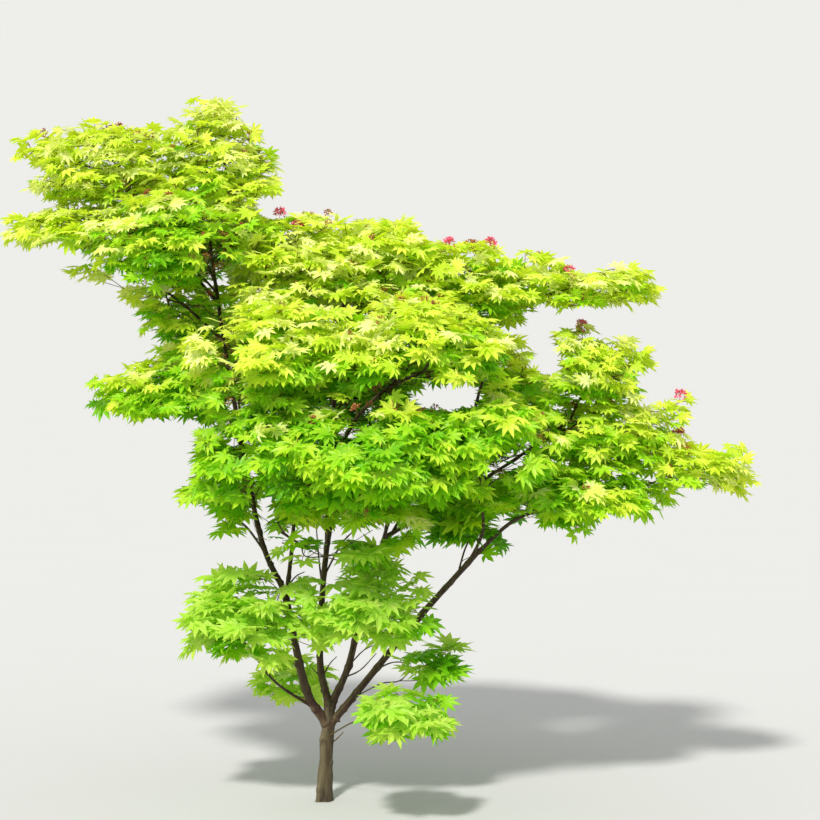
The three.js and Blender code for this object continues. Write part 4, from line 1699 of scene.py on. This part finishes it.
@dataclass
class TintDealer:
    """Deals the tints out by spray as painted light and shade, from how much light would reach it.

    Depths, heights and columns are in metres, and light runs from 0 to about 1.
    A painted rim or side light starts at its from, and is full at its over beyond that.
    """

    random: np.random.Generator
    centre: tuple[float, float, float]
    reach: tuple[float, float, float]
    column: float = 0.05
    own_light: float = 0.62
    own_depth: float = 0.15
    all_light: float = 0.38
    all_depth: float = 0.6
    light_heights: tuple[float, ...] = (0.6, 0.8, 1.02, 1.15, 1.3)
    light_gains: tuple[float, ...] = (0.5, 0.5, 0.52, 0.78, 0.95)
    light_lifts: tuple[float, ...] = (0.22, 0.22, 0.04, 0.06, 0.1)
    rim_light: float = 0.14
    rim_from: float = 0.6
    rim_over: float = 0.4
    side_light: float = 0.2
    side_reach: float = 0.8
    side_from: float = 0.7
    side_over: float = 0.3
    variety: float = 0.2
    variety_heights: tuple[float, float] = (0.9, 1.25)
    variety_shares: tuple[float, float] = (0.6, 1.0)
    # painted highlights: the light a spray needs, and the chance of one from the least light to the most
    pale_from: float = 0.7
    pale_lights: tuple[float, float] = (0.7, 1.2)
    pale_shares: tuple[float, float] = (0.14, 0.4)
    soft_below: float = 0.7
    soft_from: float = 0.42
    steps: tuple[tuple[Tint, float], ...] = (
        (Tint.GOLD, 0.80),
        (Tint.LIME, 0.60),
        (Tint.FRESH, 0.43),
        (Tint.GREEN, 0.27),
        (Tint.DEEP, -math.inf),
    )

    def depth(self, leaves: Leaves, group: np.ndarray) -> np.ndarray:
        """How deep each leaf is below the highest leaves of its group.

        Args:
            leaves: the leaves.
            group: the group of each.

        Returns:
            The depth in metres, the mean over the columns of air round the leaf.
        """
        columns = np.floor(leaves.palm[:, :2] / self.column).astype(int)
        columns -= columns.min(0) - 1
        highest = np.full((group.max() + 1, *(columns.max(0) + 2)), -1.0)
        np.maximum.at(highest, (group, *columns.T), leaves.palm[:, 2])
        steps = [(dx, dy) for dx in (-1, 0, 1) for dy in (-1, 0, 1)]
        around = np.array([highest[group, columns[:, 0] + dx, columns[:, 1] + dy] for dx, dy in steps])
        return np.mean(np.maximum(around, leaves.palm[:, 2]), axis=0) - leaves.palm[:, 2]

    def light(self, leaves: Leaves) -> np.ndarray:
        """How much light reaches each leaf.

        Args:
            leaves: the leaves.

        Returns:
            About 1 for the highest leaf of a column of air, and less the deeper a leaf is below it.
        """
        own = self.depth(leaves, leaves.mass)
        all_above = self.depth(leaves, np.zeros(len(leaves.mass), int))
        from_own = self.own_light * np.exp(-own / self.own_depth)
        from_all = self.all_light * np.exp(-all_above / self.all_depth)
        outward = np.linalg.norm((leaves.palm - self.centre) / self.reach, axis=1)
        height = leaves.palm[:, 2]
        sideways = np.clip(np.abs(leaves.palm[:, 0] - self.centre[0]) / self.side_reach, 0, 1)
        gain = np.interp(height, self.light_heights, self.light_gains)
        lift = np.interp(height, self.light_heights, self.light_lifts)
        rim = self.rim_light * np.clip((outward - self.rim_from) / self.rim_over, 0, 1)
        side = self.side_light * sideways * np.clip((height - self.side_from) / self.side_over, 0, 1)
        # painted light or shade set for each mass
        lighter = np.array([LIGHTER.get(mass.name, 0.0) for mass in MASSES])[leaves.mass]
        return (from_own + from_all) * gain + lift + rim + lighter + side

    def deal(self, leaves: Leaves) -> dict[Tint, np.ndarray]:
        """Deals the tints out.

        Args:
            leaves: the leaves.

        Returns:
            Which leaves have each tint.
        """
        sprays = leaves.spray.max() + 1
        counts = np.maximum(np.bincount(leaves.spray, minlength=sprays), 1)
        share = np.bincount(leaves.spray, self.light(leaves), sprays) / counts
        height = np.bincount(leaves.spray, leaves.palm[:, 2], sprays) / counts
        steadiness = np.interp(height, self.variety_heights, self.variety_shares)
        share = share + self.random.normal(0, self.variety, sprays) * steadiness
        # Painted highlight: some of the best lit sprays take the near-white PALE tint
        is_painted_highlight = self.random.random(sprays) < np.interp(share, self.pale_lights, self.pale_shares)
        light = share[leaves.spray]
        pale = is_painted_highlight[leaves.spray] & (light > self.pale_from)
        # Painted light: low leaves that would get some light take the lighter, paler SOFT tint
        soft = (leaves.palm[:, 2] < self.soft_below) & (light > self.soft_from)
        dealt = {Tint.PALE: pale & ~soft, Tint.SOFT: soft}
        above = math.inf
        for tint, lowest in self.steps:
            dealt[tint] = ~pale & ~soft & (light > lowest) & (light <= above)
            above = lowest
        return dealt


@dataclass
class SpurBuilder:
    """Builds the bare side shoots of the stems, a little knobbly and bent up and down by turns.

    Lengths are in metres, and the arch, end and knob are shares of a shoot's length or radius.
    """

    routes: dict[str, Route]
    steps: int = 200
    rings: int = 9
    sides: int = 7
    forward: float = 0.02
    aside: float = 0.03
    ways: int = 3
    arch: float = 0.12
    end: float = 0.45
    knob: float = 0.12
    knob_turn: float = 2.4

    def add(self, shell: Shell) -> None:
        """Adds them to a piece.

        Args:
            shell: the piece.
        """
        rings = np.arange(self.rings)
        taper = np.linspace(1, self.end, self.rings)
        for number, (name, foot, tip, radius) in enumerate(SPURS):
            way = self.routes[name].at(np.linspace(0, 1, self.steps))
            start = way[np.linalg.norm(seen(way) - foot, axis=1).argmin()]
            end = np.array((tip[0], start[1] - self.forward + self.aside * (number % self.ways), tip[1]))
            bend = (start + end) / 2 + UP * self.arch * np.linalg.norm(end - start) * (-1) ** number
            centres = Route([start, bend, end]).at(np.linspace(0, 1, self.rings))
            thick = radius * taper * (1 + self.knob * np.cos(rings * self.knob_turn))
            shell.add(*tubes(centres[None], thick[None], self.sides))


@dataclass
class Crown:
    """All foliage: twigs, leaf stalks, and leaves in their tints.

    Radii and gaps are in metres, and a piece holds about most_leaves leaves at most.
    """

    routes: dict[str, Route]
    habit: LeafHabit = LeafHabit()
    thinnest: float = 0.0008
    growth: float = 0.36
    foot_swell: float = 1.25
    twig_rings: int = 5
    twig_sides: int = 4
    stalk_radii: tuple[float, float] = (0.0006, 0.0004)
    stalk_sides: int = 3
    most_leaves: int = 5400
    centre: tuple[float, float, float] = (0.1, 0.03, 1.0)
    reach: tuple[float, float, float] = (0.95, 0.62, 0.82)
    shown_steps: int = 40
    shown_ahead: float = 0.4
    shown_gap: float = 0.036
    shown_share: float = 0.92
    seed: int = 5
    masses: list[MassGrower] = field(default_factory=list)
    twigs: list[Twigs] = field(default_factory=list)

    def __post_init__(self) -> None:
        """Grows every mass."""
        self.names = [mass.name for mass in MASSES]
        self.random = np.random.default_rng(self.seed)
        for index, mass in enumerate(MASSES):
            grower = MassGrower(mass, index, self.routes[mass.on].at(mass.at))
            self.masses.append(grower)
            self.twigs.append(grower.grow())
        log.info("twig joints: %d", sum(len(twigs.at) for twigs in self.twigs))

    def build_twigs(self) -> bpy.types.Object:
        """Builds the wood of all twigs as one piece of bent, tapering tubes.

        Returns:
            The piece.
        """
        shell = Shell()
        steps = np.linspace(0, 1, self.twig_rings)[None, :, None]
        for twigs in self.twigs:
            child = np.arange(1, len(twigs.at))
            source = twigs.parent[child]
            p1, p2 = twigs.at[source], twigs.at[child]
            p0 = np.where(source[:, None] > 0, twigs.at[twigs.parent[source]], 2 * p1 - p2)
            onward = twigs.main[child]
            p3 = np.where(onward[:, None] >= 0, twigs.at[onward], 2 * p2 - p1)
            centres = bent(p0[:, None], p1[:, None], p2[:, None], p3[:, None], steps)
            radii = twigs.thickness(self.thinnest, self.growth)
            foot = np.minimum(radii[source], radii[child] * self.foot_swell)
            thick = foot[:, None] + (radii[child] - foot)[:, None] * steps[..., 0]
            shell.add(*tubes(centres, thick, self.twig_sides))
        SpurBuilder(self.routes).add(shell)
        piece = shell.build("twig_wood", TWIG_BARK.material(), True)
        return seat(piece, self.names)

    def place_leaves(self) -> Leaves:
        """Places opposite leaves at every joint, and more at the ends of shoots.

        Returns:
            The leaves of the whole crown.
        """
        parts = []
        first_spray = 0
        for grower, twigs in zip(self.masses, self.twigs):
            joints = np.arange(len(STEM_SHARES), len(twigs.at))
            ends = joints[twigs.main[joints] < 0]
            for pair in LEAF_PAIRS:
                at = ends if pair.is_at_end else joints
                way = unit(twigs.at[at] - twigs.at[twigs.parent[at]])
                foot = twigs.at[at] - way * pair.back
                for side in (-1, 1):
                    parts.append(self.leaves_at(grower, foot, way, pair, side, first_spray + at))
            first_spray += len(twigs.at)
        leaves = Leaves.joined(parts)
        return leaves.only(~self.hides_limb(leaves))

    def hides_limb(self, leaves: Leaves) -> np.ndarray:
        """Whether each leaf is before a stretch of limb that stays in sight.

        Args:
            leaves: the leaves.

        Returns:
            True for most of the leaves that are.
        """
        middles = leaves.palm + leaves.ahead * leaves.size[:, None] * self.shown_ahead
        places = seen(middles)
        hides = np.zeros(len(leaves.size), bool)
        for name, start, end in SHOWN:
            way = self.routes[name].at(np.linspace(start, end, self.shown_steps))
            gaps = np.linalg.norm(places[:, None] - seen(way), axis=-1)
            is_before = middles[:, 1] < way[gaps.argmin(1), 1]
            hides |= is_before & (gaps.min(1) < self.shown_gap)
        return hides & (self.random.random(len(hides)) < self.shown_share)

    def leaves_at(
        self,
        grower: MassGrower,
        foot: np.ndarray,
        way: np.ndarray,
        pair: LeafPair,
        side: int,
        spray: np.ndarray,
    ) -> Leaves:
        """Places one leaf at each of many points.

        Args:
            grower: the mass that they are in.
            foot: the roots of their stalks.
            way: the directions of their twigs.
            pair: the kind of pair that they are half of.
            side: 1 for the pair's left leaves, and -1 for its right ones.
            spray: which spray each is in.

        Returns:
            The leaves.
        """
        count = len(foot)
        habit = self.habit
        random = self.random
        turn = np.radians(side * pair.bearing + random.normal(0, pair.spread, count))
        heading = np.arctan2(way[:, 1], way[:, 0]) + turn
        from_mass = (foot - grower.middle) / grower.reach
        from_crown = (foot - self.centre) / self.reach
        out = from_mass * habit.mass_pull + from_crown * habit.crown_pull
        out_heading = np.arctan2(out[:, 1], out[:, 0])
        how_far_out = np.clip(np.linalg.norm(out[:, :2], axis=1), 0, 1)
        swing = (out_heading - heading + np.pi) % (2 * np.pi) - np.pi
        level = levelled(heading + swing * habit.swing * how_far_out)
        rise = np.radians(random.normal(habit.rise, habit.rise_spread, count))
        stalk = habit.stalk * random.uniform(*habit.stalk_range, count) * pair.size
        palm = foot + (level * np.cos(rise)[:, None] + UP * np.sin(rise)[:, None]) * stalk[:, None]
        under = np.clip(habit.under_level - habit.under_slope * from_mass[:, 2], 0, 1)
        under = habit.over_tilt + (1 - habit.over_tilt) * under
        flatter = np.interp(foot[:, 2], habit.tilt_heights, habit.tilt_shares)
        tilt = np.radians(habit.inner_tilt + habit.outer_tilt * how_far_out**2 * under * flatter)[:, None]
        uneven = random.normal(0, habit.unevenness, (count, 3))
        normal = unit(UP * np.cos(tilt) + levelled(out_heading) * np.sin(tilt) + uneven)
        ahead = unit(level - normal * (level * normal).sum(-1, keepdims=True))
        grown = np.interp(foot[:, 2], habit.size_heights, habit.size_shares)
        grown = grown * FINENESS.get(grower.mass.part, 1.0)
        size = habit.size * pair.size * grown * random.uniform(*habit.size_range, count)
        droop = random.normal(habit.droop, habit.droop_spread, count)
        mass = np.full(count, grower.index)
        made = Leaves(foot, palm, ahead, normal, size, droop, spray, mass)
        return made.only(grower.holds(palm, 0))

    def build_leaves(self, leaves: Leaves) -> None:
        """Builds the leaves, one or two pieces to a tint.

        Args:
            leaves: the leaves.
        """
        outlines = [shape.outline() for shape in LEAF_SHAPES]
        kind = self.random.integers(0, len(outlines), len(leaves.size))
        dealer = TintDealer(self.random, self.centre, self.reach)
        for tint, has_tint in dealer.deal(leaves).items():
            material = tint.value.material()
            members = np.flatnonzero(has_tint)
            parts = max(1, math.ceil(len(members) / self.most_leaves))
            for number, some in enumerate(np.array_split(members, parts)):
                shell = Shell()
                for index, (corners, faces) in enumerate(outlines):
                    shell.add(*self.blades(leaves.only(some[kind[some] == index]), corners, faces))
                piece = shell.build(f"{tint.value.name}_{number + 1}", material, False)
                seat(piece, self.names)

    @staticmethod
    def blades(leaves: Leaves, corners: np.ndarray, faces: np.ndarray) -> tuple[np.ndarray, np.ndarray]:
        """The blades of leaves that share an outline.

        Args:
            leaves: the leaves.
            corners: the outline's corners.
            faces: its triangles.

        Returns:
            All corners and triangles.
        """
        left = np.cross(leaves.normal, leaves.ahead)
        far = np.linalg.norm(corners[:, :2], axis=1)
        height = corners[:, 2] - leaves.droop[:, None] * far**2
        x = corners[:, 0][None, :, None] * leaves.ahead[:, None, :]
        y = corners[:, 1][None, :, None] * left[:, None, :]
        z = height[:, :, None] * leaves.normal[:, None, :]
        placed = leaves.palm[:, None, :] + (x + y + z) * leaves.size[:, None, None]
        first = np.arange(len(leaves.size))[:, None, None] * len(corners)
        return placed.reshape(-1, 3), (faces[None] + first).reshape(-1, 3)

    def build_stalks(self, leaves: Leaves) -> bpy.types.Object:
        """Builds the leaf stalks as one piece.

        Args:
            leaves: the leaves.

        Returns:
            The piece.
        """
        centres = np.stack((leaves.foot, leaves.palm), 1)
        radii = np.tile(self.stalk_radii, (len(leaves.size), 1))
        shell = Shell()
        shell.add(*tubes(centres, radii, self.stalk_sides))
        piece = shell.build("leaf_stalks", STALKS.material(), True)
        return seat(piece, self.names)


# Blossom


# A wing's corners, as shares of its length, width and thickness, and its triangles
WING = ((0, 0, 0), (0.45, 1, 0), (1, 0, 0), (0.5, -0.5, 0), (0.3, 0, 1), (0.3, 0, -1))
WING_FACES = ((0, 1, 4), (1, 2, 4), (2, 3, 4), (3, 0, 4), (1, 0, 5), (2, 1, 5), (3, 2, 5), (0, 3, 5))


@dataclass
class Blossom:
    """Tufts of young winged fruit on upright stalks, bright on the crown's top and rusty inside it.

    Lengths, widths and radii are in metres, and a range is the least and the most.
    """

    crown: Crown
    stalk: float = 0.014
    stalk_lean: float = 0.16
    stalk_radii: tuple[float, float] = (0.0008, 0.0006)
    stalk_sides: int = 4
    spokes: int = 26
    spoke: float = 0.013
    spoke_range: tuple[float, float] = (0.6, 1.15)
    spoke_rise: float = 0.9
    spoke_radius: float = 0.0004
    spoke_sides: int = 3
    wing: float = 0.010
    wing_width: float = 0.0042
    wing_thickness: float = 0.0012
    wing_ahead: float = 0.8
    inner_tufts: int = 300
    inner_start: float = 0.78
    inner_spokes: int = 11
    inner_range: tuple[float, float] = (0.6, 0.9)
    inner_above: float = 0.72
    front_weight: float = 0.06
    seed: int = 11

    def __post_init__(self) -> None:
        """Seeds the tufts."""
        self.random = np.random.default_rng(self.seed)

    def tuft(self, shell: Shell, foot: np.ndarray, size: float, spokes: int) -> None:
        """Adds one tuft to a piece.

        Args:
            shell: the piece.
            foot: where its stalk grows from.
            size: its size as a share of a full one's.
            spokes: how many fruit stalks it has.
        """
        random = self.random
        head = foot + (UP + random.normal(0, self.stalk_lean, 3)) * self.stalk * size
        shell.add(*tubes(np.stack((foot, head))[None], np.array((self.stalk_radii,)), self.stalk_sides))
        ways = unit(random.normal(0, 1, (spokes, 3)) + UP * self.spoke_rise)
        ends = head + ways * self.spoke * size * random.uniform(*self.spoke_range, (spokes, 1))
        centres = np.stack((np.repeat(head[None], spokes, 0), ends), 1)
        shell.add(*tubes(centres, np.full((spokes, 2), self.spoke_radius), self.spoke_sides))
        for way, end in zip(ways, ends):
            side = unit(np.cross(way, random.normal(0, 1, 3)))
            for hand in (-1, 1):
                self.add_wing(shell, end, unit(way * self.wing_ahead + side * hand), size)

    def add_wing(self, shell: Shell, end: np.ndarray, run: np.ndarray, size: float) -> None:
        """Adds one wing of a fruit to a piece.

        Args:
            shell: the piece.
            end: the end of the fruit's stalk.
            run: the wing's direction.
            size: the tuft's size as a share of a full one's.
        """
        flat = unit(np.cross(run, self.random.normal(0, 1, 3))) * self.wing_width * size
        far = run * self.wing * size
        thick = np.cross(unit(run), unit(flat)) * self.wing_thickness * size
        corners = [end + far * along + flat * across + thick * over for along, across, over in WING]
        shell.add(np.array(corners), np.array(WING_FACES))

    def outer_joints(self, grower: MassGrower, twigs: Twigs) -> np.ndarray:
        """The joints in the outer part of a mass.

        Args:
            grower: the mass.
            twigs: its twigs.

        Returns:
            Where they are.
        """
        share = np.linalg.norm((twigs.at - grower.middle) / grower.reach, axis=1)
        return twigs.at[share > self.inner_start]

    def build_bright(self) -> bpy.types.Object:
        """Builds the bright tufts, each on the twig that is seen nearest to its place.

        Returns:
            The piece.
        """
        shell = Shell()
        joints = np.concatenate([twigs.at[len(STEM_SHARES) :] for twigs in self.crown.twigs])
        places = seen(joints)
        for place in BLOSSOMS:
            gaps = np.linalg.norm(places - place, axis=1) + self.front_weight * joints[:, 1]
            self.tuft(shell, joints[gaps.argmin()], 1.0, self.spokes)
        piece = shell.build("blossom_bright", BLOSSOM_RED.material(), False)
        return seat(piece, self.crown.names)

    def build_rusty(self) -> bpy.types.Object:
        """Builds the rusty tufts, spread over the outer twigs of the higher masses.

        Returns:
            The piece.
        """
        shell = Shell()
        pairs = zip(self.crown.masses, self.crown.twigs)
        joints = np.concatenate([self.outer_joints(grower, twigs) for grower, twigs in pairs])
        joints = joints[joints[:, 2] > self.inner_above]
        for index in self.random.choice(len(joints), self.inner_tufts, replace=False):
            self.tuft(shell, joints[index], self.random.uniform(*self.inner_range), self.inner_spokes)
        piece = shell.build("blossom_rusty", BLOSSOM_RUST.material(), False)
        return seat(piece, self.crown.names)


# Studio


@dataclass
class Studio:
    """The pale floor, the soft light and the camera at the photograph's angle."""

    floor_size: float = 60.0
    down: float = 3.9
    lens: float = 114.15
    furthest: float = 200
    sun_tone: Colour = (1.0, 0.97, 0.90)
    sun_strength: float = 4.0
    sun_softness: float = 6.0
    sun_turn: tuple[float, float, float] = (43, -14, 0)
    world_tone: Colour = (0.90, 0.90, 0.87)
    world_strength: float = 0.95

    def build(self) -> None:
        """Builds the floor, the lights and the camera."""
        self.build_floor()
        self.build_lights()
        self.build_camera()

    def build_floor(self) -> None:
        """Builds the floor, which is no part of the tree."""
        half = self.floor_size / 2
        shell = Shell()
        corners = np.array(((-half, -half, 0), (half, -half, 0), (half, half, 0), (-half, half, 0)), float)
        shell.add(corners, np.array(((0, 1, 2), (0, 2, 3))))
        shell.build("floor", FloorFinish().material(), False)

    def build_lights(self) -> None:
        """Builds the soft sun and the pale world."""
        lamp = bpy.data.lights.new("soft_sun", "SUN")
        lamp.energy = self.sun_strength
        lamp.angle = math.radians(self.sun_softness)
        lamp.color = self.sun_tone
        sun = bpy.data.objects.new("soft_sun", lamp)
        sun.rotation_euler = [math.radians(turn) for turn in self.sun_turn]
        bpy.context.scene.collection.objects.link(sun)
        world = bpy.data.worlds.new("pale_world")
        world.use_nodes = True
        sky = world.node_tree.nodes["Background"]
        sky.inputs["Color"].default_value = (*self.world_tone, 1)
        sky.inputs["Strength"].default_value = self.world_strength
        bpy.context.scene.world = world

    def build_camera(self) -> None:
        """Builds the camera."""
        data = bpy.data.cameras.new("camera")
        data.lens = self.lens
        data.clip_end = self.furthest
        camera = bpy.data.objects.new("camera", data)
        camera.location = EYE
        camera.rotation_euler = (math.radians(90 - self.down), 0, 0)
        bpy.context.scene.collection.objects.link(camera)
        bpy.context.scene.camera = camera
        bpy.context.scene.view_settings.view_transform = "Standard"


def main() -> None:
    """Builds the tree on the frame."""
    logging.basicConfig(level=logging.INFO, format="%(name)s %(message)s")
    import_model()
    Studio().build()
    builder = LimbBuilder()
    for limb in LIMBS:
        builder.build(limb)
    crown = Crown(builder.routes)
    crown.build_twigs()
    leaves = crown.place_leaves()
    log.info("leaves: %d", len(leaves.size))
    crown.build_leaves(leaves)
    crown.build_stalks(leaves)
    blossom = Blossom(crown)
    blossom.build_bright()
    blossom.build_rusty()
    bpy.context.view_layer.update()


if __name__ == "__main__":
    main()
